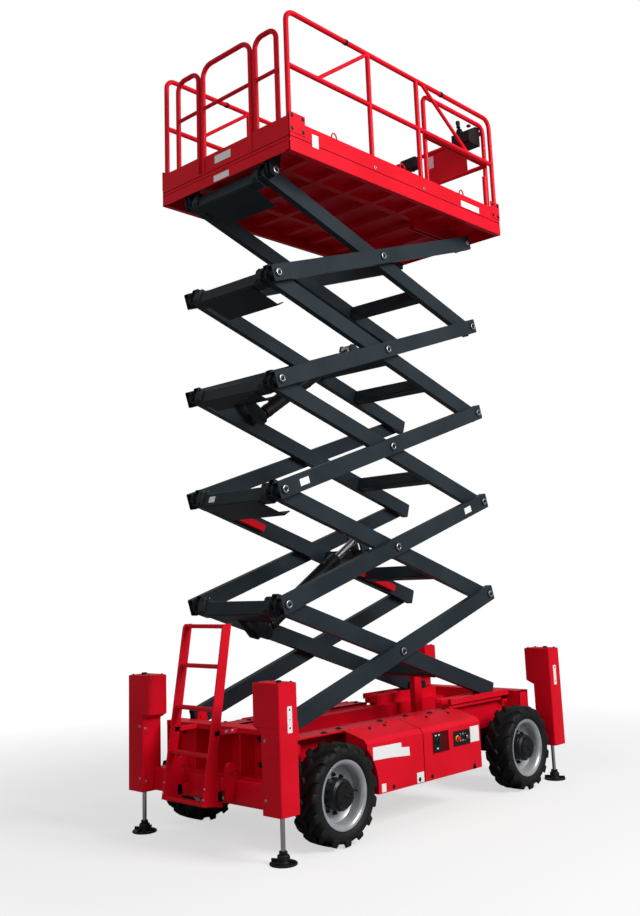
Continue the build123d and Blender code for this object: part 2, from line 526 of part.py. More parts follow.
for stage in range(1, STAGES + 1):
    with BuildPart() as outer_arm:
        for side in (1, -1):
            arm_bar(stage, 1, side * OUTER_ARM_Y)
            with BuildSketch(arm_plane(stage, 1, side * OUTER_ARM_Y)) as bores:
                with Locations((-HALF, 0), (0, 0)):
                    Circle(PIN_R + PIN_FIT)
                with Locations((HALF, 0)):
                    Circle(PIN_R + OPEN_PIVOT_FIT)
            extrude(bores.sketch, amount=ARM_W, both=True, mode=Mode.SUBTRACT)
        if stage == STAGES:
            for side in (1, -1):
                slide_pin(side, TOP_PIN_Z, OUTER_ARM_FACE_Y + PIN_HEAD_T)
    save(outer_arm, f"outer_arm_{stage}")

    with BuildPart() as inner_arm:
        for side in (1, -1):
            arm_bar(stage, -1, side * INNER_ARM_Y)
            # pins that carry the outer arms, each with its head plate
            pins = [(-HALF, 1), (0, 1), (HALF, 0 if stage == 1 else 1)]
            for s, full in pins:
                face = arm_plane(stage, -1).from_local_coords((s, 0, 0))
                if full:
                    bar((face.X, side * INNER_ARM_Y, face.Z), (face.X, side * (OUTER_ARM_FACE_Y + FACE_GAP), face.Z), PIN_R)
                    bar((face.X, side * (OUTER_ARM_FACE_Y + FACE_GAP), face.Z),
                        (face.X, side * (OUTER_ARM_FACE_Y + FACE_GAP + PIN_HEAD_T), face.Z), PIN_HEAD_R)
        with BuildSketch(arm_plane(stage, -1)) as tubes:
            with Locations((-HALF, -TUBE_DROP), (MID_TUBE_S, 0)):
                RectangleRounded(TUBE_L, TUBE_D, 10)
        extrude(tubes.sketch, amount=INNER_ARM_IN_Y, both=True)
        if stage == 1:
            # the lowest tube's ends are cut away where it comes down over the tracks
            for side in (1, -1):
                middle_y = side * (INNER_ARM_IN_Y + TRACK_WEB_Y - TRACK_T - TRACK_CLEAR) / 2.0
                with BuildSketch(arm_plane(stage, -1, middle_y)) as saddle:
                    with Locations((MID_TUBE_S, SADDLE_N - TUBE_D / 2.0)):
                        Rectangle(TUBE_L + 10, TUBE_D)
                extrude(saddle.sketch, amount=(INNER_ARM_IN_Y - TRACK_WEB_Y + TRACK_T + TRACK_CLEAR) / 2.0,
                        both=True, mode=Mode.SUBTRACT)
        if stage in (1, 3):
            cylinder_lugs(stage, 0, FOOT_LUG)
            foot = arm_plane(stage, -1).from_local_coords((FOOT_S, FOOT_N, 0))
            reach = EYE_W / 2.0 + FACE_GAP + LUG_T + 6
            bar((foot.X, -reach, foot.Z), (foot.X, reach, foot.Z), CYL_PIN_R)
        if stage in (2, 4):
            with BuildSketch(arm_plane(stage, -1)) as tube:
                with Locations((HEAD_TUBE_S, 0)):
                    RectangleRounded(HEAD_TUBE, HEAD_TUBE, 8)
            extrude(tube.sketch, amount=INNER_ARM_IN_Y, both=True)
            cylinder_lugs(stage, 0, HEAD_LUG)
        if stage == 1:
            for side in (1, -1):
                slide_pin(side, FIXED_PIN_Z, INNER_ARM_Y)
    save(inner_arm, f"inner_arm_{stage}")

# ------------------------------------------------------------------ sliding blocks of the arm ends
for level, pin_z in (("lower", FIXED_PIN_Z), ("upper", TOP_PIN_Z)):
    with BuildPart() as slide_blocks:
        for side in (1, -1):
            inner_y = side * (TRACK_WEB_Y + FACE_GAP)
            with BuildSketch(Plane(origin=(SLIDE_PIN_X, inner_y, pin_z), x_dir=(1, 0, 0), z_dir=(0, side, 0))) as shoe:
                RectangleRounded(SLIDE_BLOCK_L, SLIDE_BLOCK_H, SLIDE_CORNER_R)
                Circle(PIN_R + PIN_FIT, mode=Mode.SUBTRACT)
            extrude(shoe.sketch, amount=SLIDE_BLOCK_W)
    save(slide_blocks, f"slide_blocks_{level}")

# ------------------------------------------------------------------ lift cylinders
for name, stage in (("lower", 1), ("upper", 3)):
    foot = arm_plane(stage, -1).from_local_coords((FOOT_S, FOOT_N, 0))
    head = arm_plane(stage + 1, -1).from_local_coords((HEAD_S, HEAD_N, 0))
    stroke_line = (head - foot).normalized()
    centres = (head - foot).length

    def along(distance):
        point = foot + stroke_line * distance
        return (point.X, point.Y, point.Z)

    with BuildPart() as barrel:
        bar(along(20), along(BARREL_L), EYE_W / 2.0 - 8)
        bar(along(EYE_R + 40), along(BARREL_L), BARREL_R)
        bar((foot.X, -EYE_W / 2.0, foot.Z), (foot.X, EYE_W / 2.0, foot.Z), EYE_R)
        bar(along(110), along(BARREL_L - 40), BARREL_R - BARREL_WALL, mode=Mode.SUBTRACT)
        bar(along(BARREL_L - 60), along(BARREL_L), ROD_R + PIN_FIT, mode=Mode.SUBTRACT)
        bar((foot.X, -EYE_W, foot.Z), (foot.X, EYE_W, foot.Z), CYL_PIN_R + PIN_FIT, mode=Mode.SUBTRACT)
    save(barrel, f"{name}_cylinder_barrel")
    with BuildPart() as rod:
        bar(along(centres - ROD_L), along(centres), ROD_R)
        bar((head.X, -EYE_W / 2.0, head.Z), (head.X, EYE_W / 2.0, head.Z), EYE_R)
    save(rod, f"{name}_cylinder_rod")

# ------------------------------------------------------------------ platform
SKIRT_Z = TOP_PIN_Z + SKIRT_RISE
SKIRT_TOP_Z = TOP_PIN_Z + SKIRT_TOP_RISE
FLOOR_Z = TOP_PIN_Z + FLOOR_RISE
RIB_Z = TOP_PIN_Z + RIB_RISE
TOP_RAIL_Z = TOP_PIN_Z + TOP_RAIL_RISE
MID_RAIL_Z = TOP_PIN_Z + MID_RAIL_RISE
RIB_T = 8.0
with BuildPart() as platform_deck:
    block(DECK_REAR_X, DECK_FRONT_X, -DECK_HALF_Y, DECK_HALF_Y, FLOOR_Z - FLOOR_T, FLOOR_Z)
    for side in (1, -1):
        y0, y1 = sorted((side * (DECK_HALF_Y - SKIRT_T), side * DECK_HALF_Y))
        block(DECK_REAR_X, DECK_FRONT_X, y0, y1, SKIRT_Z, SKIRT_TOP_Z)
        # underside runner and the channel of the upper sliding ends
        y0, y1 = sorted((side * (TRACK_WEB_Y - TRACK_T), side * (INNER_ARM_IN_Y - TRACK_MOUTH)))
        flange = TOP_PIN_Z + SLIDE_BLOCK_H / 2.0 + FACE_GAP
        block(TRACK_START, DECK_FRONT_X - SKIRT_T, y0, y1, flange, FLOOR_Z - FLOOR_T)
        low = TOP_PIN_Z - SLIDE_BLOCK_H / 2.0 - FACE_GAP
        block(TRACK_START, DECK_FRONT_X - 60, y0, y1, low - TRACK_T, low)
        w0, w1 = sorted((side * (TRACK_WEB_Y - TRACK_T), side * TRACK_WEB_Y))
        block(TRACK_START, DECK_FRONT_X - 60, w0, w1, low - TRACK_T, FLOOR_Z - FLOOR_T)
        block(DECK_REAR_X + SKIRT_T, TRACK_START, y0, y1, RIB_Z, FLOOR_Z - FLOOR_T)
        # hanger on the top pins of the uppermost inner arms
        y0, y1 = sorted((side * (OUTER_ARM_Y - ARM_W / 2.0 + FACE_GAP), side * (OUTER_ARM_FACE_Y - FACE_GAP)))
        block(FIXED_PIN_X - 60, FIXED_PIN_X + 60, y0, y1, TOP_PIN_Z - 50, FLOOR_Z - FLOOR_T)
        bar((FIXED_PIN_X, side * (OUTER_ARM_Y - ARM_W), TOP_PIN_Z), (FIXED_PIN_X, side * (OUTER_ARM_Y + ARM_W), TOP_PIN_Z),
            PIN_R + PIN_FIT, mode=Mode.SUBTRACT)
    for x in (DECK_REAR_X, DECK_FRONT_X - SKIRT_T):
        block(x, x + SKIRT_T, -DECK_HALF_Y, DECK_HALF_Y, SKIRT_Z, FLOOR_Z)
    for i in range(5):
        x = DECK_REAR_X + (i + 1) * (DECK_FRONT_X - DECK_REAR_X) / 6.0
        block(x - RIB_T / 2.0, x + RIB_T / 2.0, -DECK_HALF_Y, DECK_HALF_Y, RIB_Z, FLOOR_Z)
save(platform_deck, "platform_deck")

RAIL_Y = DECK_HALF_Y - RAIL_IN_Y
REAR_POST_X = DECK_REAR_X + RAIL_IN_Y
FRONT_POST_X = DECK_FRONT_X - RAIL_IN_Y
POST_XS = (X_MID - 480.0, X_MID + 210.0)
BRACES = ((POST_XS[0], X_MID - 1150.0), (X_MID + 300.0, X_MID + 1000.0))
for hand, side in (("left", 1), ("right", -1)):
    with BuildPart() as side_rail:
        y = side * RAIL_Y
        bent_tube([(REAR_POST_X, y, FLOOR_Z), (REAR_POST_X, y, TOP_RAIL_Z), (FRONT_POST_X, y, TOP_RAIL_Z), (FRONT_POST_X, y, FLOOR_Z)], RAIL_R, 90)
        bar((REAR_POST_X, y, MID_RAIL_Z), (FRONT_POST_X, y, MID_RAIL_Z), RAIL_R)
        for x in POST_XS:
            bar((x, y, FLOOR_Z), (x, y, TOP_RAIL_Z), RAIL_R)
        for top_x, low_x in BRACES:
            bar((top_x, y, TOP_RAIL_Z), (low_x, y, MID_RAIL_Z), RAIL_R - 3)
    save(side_rail, f"guard_rail_{hand}")

# rear guard: a fixed loop each side of the entry
REAR_LOOPS = ((600.0, 320.0), (-400.0, -650.0))
LOOP_TOP_Z = TOP_RAIL_Z - 110.0
with BuildPart() as guard_rail_rear:
    for y0, y1 in REAR_LOOPS:
        bent_tube([(REAR_POST_X, y0, FLOOR_Z), (REAR_POST_X, y0, LOOP_TOP_Z), (REAR_POST_X, y1, LOOP_TOP_Z), (REAR_POST_X, y1, FLOOR_Z)], RAIL_R, 70)
        bar((REAR_POST_X, y0, MID_RAIL_Z), (REAR_POST_X, y1, MID_RAIL_Z), RAIL_R - 2)
save(guard_rail_rear, "guard_rail_rear")

# entry gate: an inward-swinging loop with a toe panel, hung on the left loop
with BuildPart() as gate:
    y0, y1 = 320.0 - 2 * RAIL_R - GATE_CLEAR, -400.0 + 2 * RAIL_R + GATE_CLEAR
    bent_tube([(REAR_POST_X, y0, FLOOR_Z + 30), (REAR_POST_X, y0, LOOP_TOP_Z + 50), (REAR_POST_X, y1, LOOP_TOP_Z + 50), (REAR_POST_X, y1, FLOOR_Z + 30)], RAIL_R, 90)
    bar((REAR_POST_X, y0, MID_RAIL_Z), (REAR_POST_X, y1, MID_RAIL_Z), RAIL_R - 2)
    block(REAR_POST_X - 4, REAR_POST_X + 4, y1, y0, FLOOR_Z + 20, FLOOR_Z + 190)
    for z in (FLOOR_Z + 120, MID_RAIL_Z + 120):
        bar((REAR_POST_X + GATE_HINGE_OFFSET, GATE_HINGE_Y, z), (REAR_POST_X + GATE_HINGE_OFFSET, GATE_HINGE_Y, z + 90), GATE_HINGE_R)
        block(REAR_POST_X, REAR_POST_X + GATE_HINGE_OFFSET + 4, y0, GATE_HINGE_Y, z, z + 90)
save(gate, "entry_gate")

# roll-out deck, with its own guard nested inside the side rails
EXT_REAR_X = X_MID + 350.0
EXT_Y = RAIL_Y - RAIL_R - 16.0
EXT_FLOOR_Z = FLOOR_Z + FACE_GAP
EXT_RAIL_Y = EXT_Y - 22.0
EXT_FRONT_X = DECK_FRONT_X - 32.0
with BuildPart() as extension_deck:
    block(EXT_REAR_X, EXT_FRONT_X, -EXT_Y, EXT_Y, EXT_FLOOR_Z, EXT_FLOOR_Z + 8)
    for side in (1, -1):
        y = side * EXT_RAIL_Y
        y0, y1 = sorted((side * (EXT_Y - 6), side * EXT_Y))
        block(EXT_REAR_X, EXT_FRONT_X, y0, y1, EXT_FLOOR_Z, EXT_FLOOR_Z + 120)
        bent_tube([(EXT_REAR_X + 40, y, EXT_FLOOR_Z + 4), (EXT_REAR_X + 40, y, TOP_RAIL_Z - 60), (EXT_FRONT_X - RAIL_R, y, TOP_RAIL_Z - 60), (EXT_FRONT_X - RAIL_R, y, EXT_FLOOR_Z + 4)], RAIL_R, 80)
        bar((EXT_REAR_X + 40, y, MID_RAIL_Z), (EXT_FRONT_X - RAIL_R, y, MID_RAIL_Z), RAIL_R - 2)
    for z in (TOP_RAIL_Z - 60 - 90, MID_RAIL_Z):
        bar((EXT_FRONT_X - RAIL_R, -EXT_RAIL_Y, z), (EXT_FRONT_X - RAIL_R, EXT_RAIL_Y, z), RAIL_R)
    block(EXT_FRONT_X - 8, EXT_FRONT_X, -EXT_Y, EXT_Y, EXT_FLOOR_Z, EXT_FLOOR_Z + 150)
save(extension_deck, "extension_deck")

# control box on the roll-out deck's front corner
with BuildPart() as platform_controls:
    x1 = EXT_FRONT_X - 2 * RAIL_R
    block(x1 - 200, x1, -EXT_RAIL_Y + RAIL_R + 10, -EXT_RAIL_Y + RAIL_R + 250, TOP_RAIL_Z - 260, TOP_RAIL_Z - 60)
save(platform_controls, "platform_controls")
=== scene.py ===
import math

import bpy
import numpy as np
from mathutils import Matrix, Vector


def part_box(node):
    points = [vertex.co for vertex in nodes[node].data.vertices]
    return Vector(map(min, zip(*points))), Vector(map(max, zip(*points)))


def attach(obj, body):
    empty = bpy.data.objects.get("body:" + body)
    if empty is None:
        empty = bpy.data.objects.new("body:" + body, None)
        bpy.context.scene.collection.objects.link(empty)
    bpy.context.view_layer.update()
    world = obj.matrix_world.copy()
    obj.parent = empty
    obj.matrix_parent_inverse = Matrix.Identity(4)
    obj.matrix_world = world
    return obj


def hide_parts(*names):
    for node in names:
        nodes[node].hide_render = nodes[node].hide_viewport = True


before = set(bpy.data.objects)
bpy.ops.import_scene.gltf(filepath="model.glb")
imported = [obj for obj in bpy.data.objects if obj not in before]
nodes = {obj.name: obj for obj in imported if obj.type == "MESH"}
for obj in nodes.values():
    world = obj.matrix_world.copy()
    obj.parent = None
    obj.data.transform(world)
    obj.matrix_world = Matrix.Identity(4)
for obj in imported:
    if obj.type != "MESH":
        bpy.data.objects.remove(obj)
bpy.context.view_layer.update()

# ---------------------------------------------------------------- studio
# A pale seamless floor under an open white sky, one broad soft lamp high on the right side and a
# weaker one behind, and a long-lensed camera low beside the rear corner.
CAMERA_PLACE = Vector((-6.655, -5.829, 1.832))
CAMERA_AHEAD = Vector((0.71019, 0.67962, 0.18367)).normalized()
CAMERA_ROLL = -0.0337
LENS_MM = 39.03
SHIFT_RIGHT = 0.0201
SHIFT_UP = -0.0639
FLOOR_SPAN = 60.0
FLOOR_HEX = "#fbfbfb"           # what the camera sees of the floor near the machine
FLOOR_BOUNCE_HEX = "#8c8c8d"    # what the floor gives back to the object
FLOOR_GLOW = 0.60               # how far the camera sees the floor as white close to the machine
FLOOR_WHITE_FROM = 3.0          # metres from the machine's middle where the floor starts to fade to white
FLOOR_WHITE_OVER = 4.0          # metres over which it does
SKY_STRENGTH = 0.30
LAMPS = (  # name, place, aimed at, width, watts
    ("key", (1.0, -11.0, 8.0), (0.0, 0.0, 2.6), 5.0, 1330.0),
    ("fill", (-9.0, -1.0, 6.0), (0.0, 0.0, 2.6), 4.0, 90.0),
)

scene = bpy.context.scene
scene.view_settings.view_transform = "Standard"

camera = bpy.data.objects.new("camera", bpy.data.cameras.new("camera"))
scene.collection.objects.link(camera)
camera.data.lens = LENS_MM
camera.data.sensor_width = 36.0
camera.data.shift_x = SHIFT_RIGHT
camera.data.shift_y = SHIFT_UP
camera.data.clip_end = 200.0
level_right = CAMERA_AHEAD.cross(Vector((0, 0, 1))).normalized()
level_up = level_right.cross(CAMERA_AHEAD)
right = math.cos(CAMERA_ROLL) * level_right + math.sin(CAMERA_ROLL) * level_up
up = right.cross(CAMERA_AHEAD)
camera.matrix_world = Matrix.Translation(CAMERA_PLACE) @ Matrix((right, up, -CAMERA_AHEAD)).transposed().to_4x4()
scene.camera = camera


def linear(hex_colour):
    """An sRGB hex colour as linear red, green, blue and alpha."""
    parts = [int(hex_colour[i:i + 2], 16) / 255.0 for i in (1, 3, 5)]
    return [c / 12.92 if c <= 0.04045 else ((c + 0.055) / 1.055) ** 2.4 for c in parts] + [1.0]


def add(tree, kind, sockets=None, **settings):
    """Adds one node with its settings. A socket, by name or number, takes a value or another node's output."""
    made = tree.nodes.new(kind)
    for name, value in settings.items():
        setattr(made, name, value)
    for name, value in (sockets or {}).items():
        if isinstance(value, bpy.types.Node):
            value = value.outputs[0]
        if isinstance(value, bpy.types.NodeSocket):
            tree.links.new(value, made.inputs[name])
        else:
            made.inputs[name].default_value = value
    return made


def empty_material(name):
    """A material with no nodes yet."""
    material = bpy.data.materials.new(name)
    material.use_nodes = True
    material.node_tree.nodes.clear()
    return material


# the floor keeps its own shade under the lamps, and the camera sees it fade to white far away
floor_material = empty_material("seamless_paper")
tree = floor_material.node_tree
straight = add(tree, "ShaderNodeLightPath").outputs["Is Camera Ray"]
tone = add(tree, "ShaderNodeMixRGB", {"Fac": straight, "Color1": linear(FLOOR_BOUNCE_HEX), "Color2": linear(FLOOR_HEX)})
paper = add(tree, "ShaderNodeBsdfDiffuse", {"Color": tone})
glow = add(tree, "ShaderNodeEmission", {"Color": (1, 1, 1, 1), "Strength": 1.0})
spot = add(tree, "ShaderNodeTexCoord").outputs["Object"]
distance = add(tree, "ShaderNodeVectorMath", {0: spot}, operation="LENGTH").outputs["Value"]
far = add(tree, "ShaderNodeMapRange", {"Value": distance, "From Min": FLOOR_WHITE_FROM,
                                      "From Max": FLOOR_WHITE_FROM + FLOOR_WHITE_OVER, "To Min": FLOOR_GLOW})
fade = add(tree, "ShaderNodeMath", {0: far, 1: straight}, operation="MULTIPLY")
ground = add(tree, "ShaderNodeMixShader", {0: fade, 1: paper, 2: glow})
add(tree, "ShaderNodeOutputMaterial", {"Surface": ground})
half = FLOOR_SPAN / 2.0
floor_mesh = bpy.data.meshes.new("floor")
floor_mesh.from_pydata([(-half, -half, 0), (half, -half, 0), (half, half, 0), (-half, half, 0)], [], [(0, 1, 2, 3)])
floor_mesh.materials.append(floor_material)
floor = bpy.data.objects.new("floor", floor_mesh)
scene.collection.objects.link(floor)

world = bpy.data.worlds.new("studio")
scene.world = world
world.use_nodes = True
tree = world.node_tree
tree.nodes.clear()
path = add(tree, "ShaderNodeLightPath")
seen = add(tree, "ShaderNodeMath", {0: path.outputs["Is Camera Ray"], 1: path.outputs["Is Transmission Ray"]},
           operation="MAXIMUM")
lit = add(tree, "ShaderNodeBackground", {"Color": (1, 1, 1, 1), "Strength": SKY_STRENGTH})
white = add(tree, "ShaderNodeBackground", {"Color": (1, 1, 1, 1), "Strength": 1.0})
chosen = add(tree, "ShaderNodeMixShader", {0: seen, 1: lit, 2: white})
add(tree, "ShaderNodeOutputWorld", {"Surface": chosen})

for name, place, target, width, watts in LAMPS:
    lamp = bpy.data.objects.new(name, bpy.data.lights.new(name, "AREA"))
    scene.collection.objects.link(lamp)
    lamp.data.size = width
    lamp.data.energy = watts
    lamp.location = place
    lamp.rotation_euler = (Vector(target) - Vector(place)).to_track_quat("-Z", "Y").to_euler()

# ---------------------------------------------------------------- chassis
# Two steel box side beams with cross members, pressed end channels, T-slot tracks and side trays, welded
# together and powder coated bright red. Flame-cut lashing lugs and the jack beams are welded on.
RED_HEX = ("#dd0820", "#e60c28")
PEEL_MM = 2.2
EDGE_MM = 3.0


def coat(name, shades, roughness, clear, patch_mm=420.0, peel_mm=PEEL_MM, peel=0.05, specular=0.3):
    """Powder coat on steel: it flows into a fine orange peel, and its edges come out slightly round."""
    material = empty_material(name)
    tree = material.node_tree
    place = add(tree, "ShaderNodeTexCoord").outputs["Object"]
    patches = add(tree, "ShaderNodeTexNoise", {"Vector": place, "Scale": 1000.0 / patch_mm, "Detail": 3.0})
    shade = add(tree, "ShaderNodeValToRGB", {"Fac": patches})
    shade.color_ramp.elements[0].position, shade.color_ramp.elements[1].position = 0.38, 0.62
    for element, hex_colour in zip(shade.color_ramp.elements, shades):
        element.color = linear(hex_colour)
    grain = add(tree, "ShaderNodeTexNoise", {"Vector": place, "Scale": 1000.0 / peel_mm, "Detail": 1.0})
    edge = add(tree, "ShaderNodeBevel", {"Radius": EDGE_MM / 1000.0}, samples=4)
    relief = add(tree, "ShaderNodeBump", {"Height": grain, "Strength": peel, "Distance": 0.001, "Normal": edge})
    sheen = add(tree, "ShaderNodeMapRange", {"Value": patches, "To Min": roughness - 0.05, "To Max": roughness + 0.05})
    finish = add(tree, "ShaderNodeBsdfPrincipled", {
        "Base Color": shade, "Roughness": sheen, "Normal": relief, "Coat Weight": clear, "Coat Roughness": 0.12,
        "Specular IOR Level": specular})
    add(tree, "ShaderNodeOutputMaterial", {"Surface": finish})
    return material


def dress(material, *names):
    """Gives these CAD nodes this finish."""
    for name in names:
        slots = nodes[name].data.materials
        slots.clear()
        slots.append(material)


def mesh_piece(name, material, body, closed=(), loops=(), smooth_deg=35.0):
    """One mesh piece that rides on a body. A closed stack is an array (rows, points round, 3) whose rings
    run anticlockwise seen from its last row: quads join neighbouring rows and each end is closed by its
    own ring. A loop is the same array with its last row joined to its first instead."""
    points, faces, start = [], [], 0
    for shape, ringed in [(s, False) for s in closed] + [(s, True) for s in loops]:
        rows, count = shape.shape[:2]
        index = start + np.arange(rows * count).reshape(rows, count)
        lower, upper = (index, np.roll(index, -1, axis=0)) if ringed else (index[:-1], index[1:])
        quads = np.stack([lower, np.roll(lower, -1, axis=1), np.roll(upper, -1, axis=1), upper], axis=-1)
        faces += quads.reshape(-1, 4).tolist()
        if not ringed:
            faces += [index[0][::-1].tolist(), index[-1].tolist()]
        points.append(shape.reshape(-1, 3))
        start += rows * count
    mesh = bpy.data.meshes.new(name)
    mesh.from_pydata(np.concatenate(points).tolist(), [], faces)
    mesh.shade_smooth()
    mesh.set_sharp_from_angle(angle=math.radians(smooth_deg))
    mesh.materials.append(material)
    piece = bpy.data.objects.new(name, mesh)
    scene.collection.objects.link(piece)
    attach(piece, body)
    return piece


def turned(profile, sides, place, axis, phase=0.0):
    """Rings about an axis from a profile of (radius, height): place + height * axis + radius * (cos a, sin a)."""
    axis = np.array(axis, float) / np.linalg.norm(axis)
    side = np.cross([0.0, 0.0, 1.0], axis) if abs(axis[2]) < 0.9 else np.array([1.0, 0.0, 0.0])
    side /= np.linalg.norm(side)
    across = np.cross(axis, side)
    angles = phase + np.arange(sides) * 2.0 * math.pi / sides
    spokes = np.cos(angles)[:, None] * side + np.sin(angles)[:, None] * across
    radii, heights = np.array(profile, float).T
    return np.array(place, float) + heights[:, None, None] * axis + radii[:, None, None] * spokes


def plate(centre, across, upward, width, height, thick, corner=0.002, bevel=0.0008):
    """A rounded plate. Four corner arcs make its outline; its rows are the back, the front's edge and the
    front face drawn in by the bevel. The centre is on its back, which across x upward points away from."""
    across, upward = (np.array(v, float) / np.linalg.norm(v) for v in (across, upward))
    turns = np.linspace(0.0, math.pi / 2.0, 4)
    rows = []
    for inset, depth in ((0.0, 0.0), (0.0, thick - bevel), (bevel, thick)):
        arcs = []
        for number, (u, v) in enumerate(((1, 1), (-1, 1), (-1, -1), (1, -1))):
            angles = turns + number * math.pi / 2.0
            flat = np.stack([u * (width / 2.0 - corner) + (corner - inset) * np.cos(angles),
                             v * (height / 2.0 - corner) + (corner - inset) * np.sin(angles)], axis=-1)
            arcs.append(flat)
        ring = np.concatenate(arcs)
        rows.append(ring[:, :1] * across + ring[:, 1:] * upward + depth * np.cross(across, upward))
    return np.array(centre, float) + np.stack(rows)


def rounded(width, height, radius, centre=(0.0, 0.0)):
    """Rounded rectangle outline: four quarter circles of five points each about the corners' middles."""
    turns = np.linspace(0.0, math.pi / 2.0, 5)
    arcs = [np.stack([u * (width / 2.0 - radius) + radius * np.cos(turns + number * math.pi / 2.0),
                      v * (height / 2.0 - radius) + radius * np.sin(turns + number * math.pi / 2.0)], axis=-1)
            for number, (u, v) in enumerate(((1, 1), (-1, 1), (-1, -1), (1, -1)))]
    return np.concatenate(arcs) + np.array(centre)


def prism(outline, u, v, start, stop, origin=(0.0, 0.0, 0.0)):
    """An outline of (u, v) points carried straight along u x v: origin + a * u + b * v + t * (u x v)."""
    u, v = np.array(u, float), np.array(v, float)
    points = np.array(outline, float)
    ahead = np.roll(points, -1, axis=0)
    if np.sum(points[:, 0] * ahead[:, 1] - points[:, 1] * ahead[:, 0]) < 0.0:
        points = points[::-1]
    flat = np.array(origin, float) + points[:, :1] * u + points[:, 1:] * v
    normal = np.cross(u, v)
    return np.stack([flat + min(start, stop) * normal, flat + max(start, stop) * normal])


def sideways(outline, y0, y1):
    """An (x, z) outline carried along Y."""
    return prism(outline, (1, 0, 0), (0, 0, 1), -y0, -y1)


def lengthways(outline, x0, x1):
    """A (y, z) outline carried along X."""
    return prism(outline, (0, 1, 0), (0, 0, 1), x0, x1)


def upwards(outline, z0, z1):
    """An (x, y) outline carried along Z."""
    return prism(outline, (1, 0, 0), (0, 1, 0), z0, z1)


def block(x0, x1, y0, y1, z0, z1):
    """A square-edged bar or sheet between two corners."""
    return upwards(((x0, y0), (x1, y0), (x1, y1), (x0, y1)), z0, z1)


def rod(start, end, radius, sides=16):
    """A straight round bar from one point to another."""
    run = np.array(end, float) - np.array(start, float)
    return turned([(radius, 0.0), (radius, np.linalg.norm(run))], sides, start, run)


def pierced(outer, inner, u, v, start, stop):
    """A plate with a hole: its outline and the hole's, with as many points, both carried along u x v and
    joined round as a loop: outer back, outer front, inner front, inner back."""
    rows = [prism(ring, u, v, start, stop) for ring in (outer, inner)]
    return np.stack([rows[0][0], rows[0][1], rows[1][1], rows[1][0]])


def bolts(places, axis, flats=0.024, tall=0.010):
    """Hexagon heads on round washers: two turned stacks for each place on the surface."""
    r = flats / math.sqrt(3.0)
    washer = [(flats * 0.95, 0.0), (flats * 0.95, flats * 0.1), (flats * 0.85, flats * 0.13)]
    head = [(r, flats * 0.12), (r, tall * 0.75), (r * 0.87, tall)]
    return [turned(profile, sides, place, axis)
            for place in places for profile, sides in ((washer, 16), (head, 6))]


red_coat = coat("red_powder_coat", RED_HEX, roughness=0.40, clear=0.04, specular=0.14)
ZINC_HEX = ("#a9acb0", "#bfc2c5")
BLACK_HEX = ("#0d0e10", "#141518")
zinc = coat("bright_zinc_plate", ZINC_HEX, roughness=0.32, clear=0.0, patch_mm=30.0, specular=0.6)
zinc.node_tree.nodes["Principled BSDF"].inputs["Metallic"].default_value = 0.9
black_paint = coat("satin_black_paint", BLACK_HEX, roughness=0.42, clear=0.1)
VINYL_HEX = ("#f1f1ef", "#f8f8f6")
white_vinyl = coat("white_vinyl_label", VINYL_HEX, roughness=0.45, clear=0.0, peel=0.02)

HANDS = (("left", 1), ("right", -1))
X_MID = 0.097
BEAM_REAR_X, BEAM_FRONT_X = -1.593, 1.757
REAR_BEAM_TOP, FRONT_BEAM_TOP = 0.830, 0.800
END_BEAM_Z0, END_BEAM_T, WALL, LIP = 0.485, 0.150, 0.012, 0.036
END_BEAM_Y, NOTCH_Y, NOTCH_Z = 0.590, 0.428, 0.622
PIN_X, PIN_Z, PIN_R = -1.340, 0.8414, 0.025
BEAM_IN_Y, BEAM_OUT_Y, BEAM_Z0, BEAM_Z1 = 0.270, 0.425, 0.500, 0.720
TRACK_START, TRACK_END, TRACK_Y, TRACK_HALF = 0.657, 1.567, 0.3667, 0.0333
TOP_PLATE_Z, TOP_PLATE_IN_Y = 0.745, 0.413
HINGE_R, REAR_HINGES, FRONT_HINGES = 0.008, (-0.728, -0.293), (-0.053, 0.487)
COVER_REAR_X, COVER_FRONT_X, COVER_HINGE_Y = -0.848, 0.607, 0.600


def end_channel(face_x, end, top_z, y0, y1, low_z=END_BEAM_Z0):
    """Pressed channel open to the outside with a turned-down top lip; above the notch it has no lower flange."""
    back = face_x - end * END_BEAM_T
    web = back + end * WALL
    outline = [(face_x, top_z), (back, top_z), (back, low_z)]
    if low_z == END_BEAM_Z0:
        outline += [(face_x, low_z), (face_x, low_z + WALL), (web, low_z + WALL)]
    else:
        outline += [(web, low_z)]
    outline += [(web, top_z - WALL), (face_x - end * WALL, top_z - WALL), (face_x - end * WALL, top_z - LIP),
                (face_x, top_z - LIP)]
    return sideways(outline, y0, y1)


def mirrored(half):
    """Half an outline followed by its reflection in the second axis, run backwards."""
    return list(half) + [(-across, up) for across, up in reversed(half)]


def handed(side, outline):
    """A (y, z) outline drawn for the left, put on the given side."""
    return [(side * y, z) for y, z in outline]


def hinge_barrels(xs, side, *spans):
    """Round barrels along a cover's hinge line, each over a span measured from its hinge's middle."""
    return [rod((x + a, side * COVER_HINGE_Y, TOP_PLATE_Z), (x + b, side * COVER_HINGE_Y, TOP_PLATE_Z), HINGE_R)
            for x in xs for a, b in spans]


def t_track(side, pin_z, down, x0, x1):
    """T-slot track of a sliding end: its outline round the slot; down is +1 below its pin and -1 above it."""
    half, slot, lip, foot, thick = TRACK_HALF, 0.017, 0.0354, 0.0794, 0.008
    inside = [(slot, lip), (slot, lip + thick), (half - thick, lip + thick), (half - thick, foot - thick)]
    outline = [(-half, lip), (-half, foot), (half, foot), (half, lip)] + mirrored(inside)
    return lengthways([(side * TRACK_Y + across, pin_z - down * drop) for across, drop in outline], x0, x1)


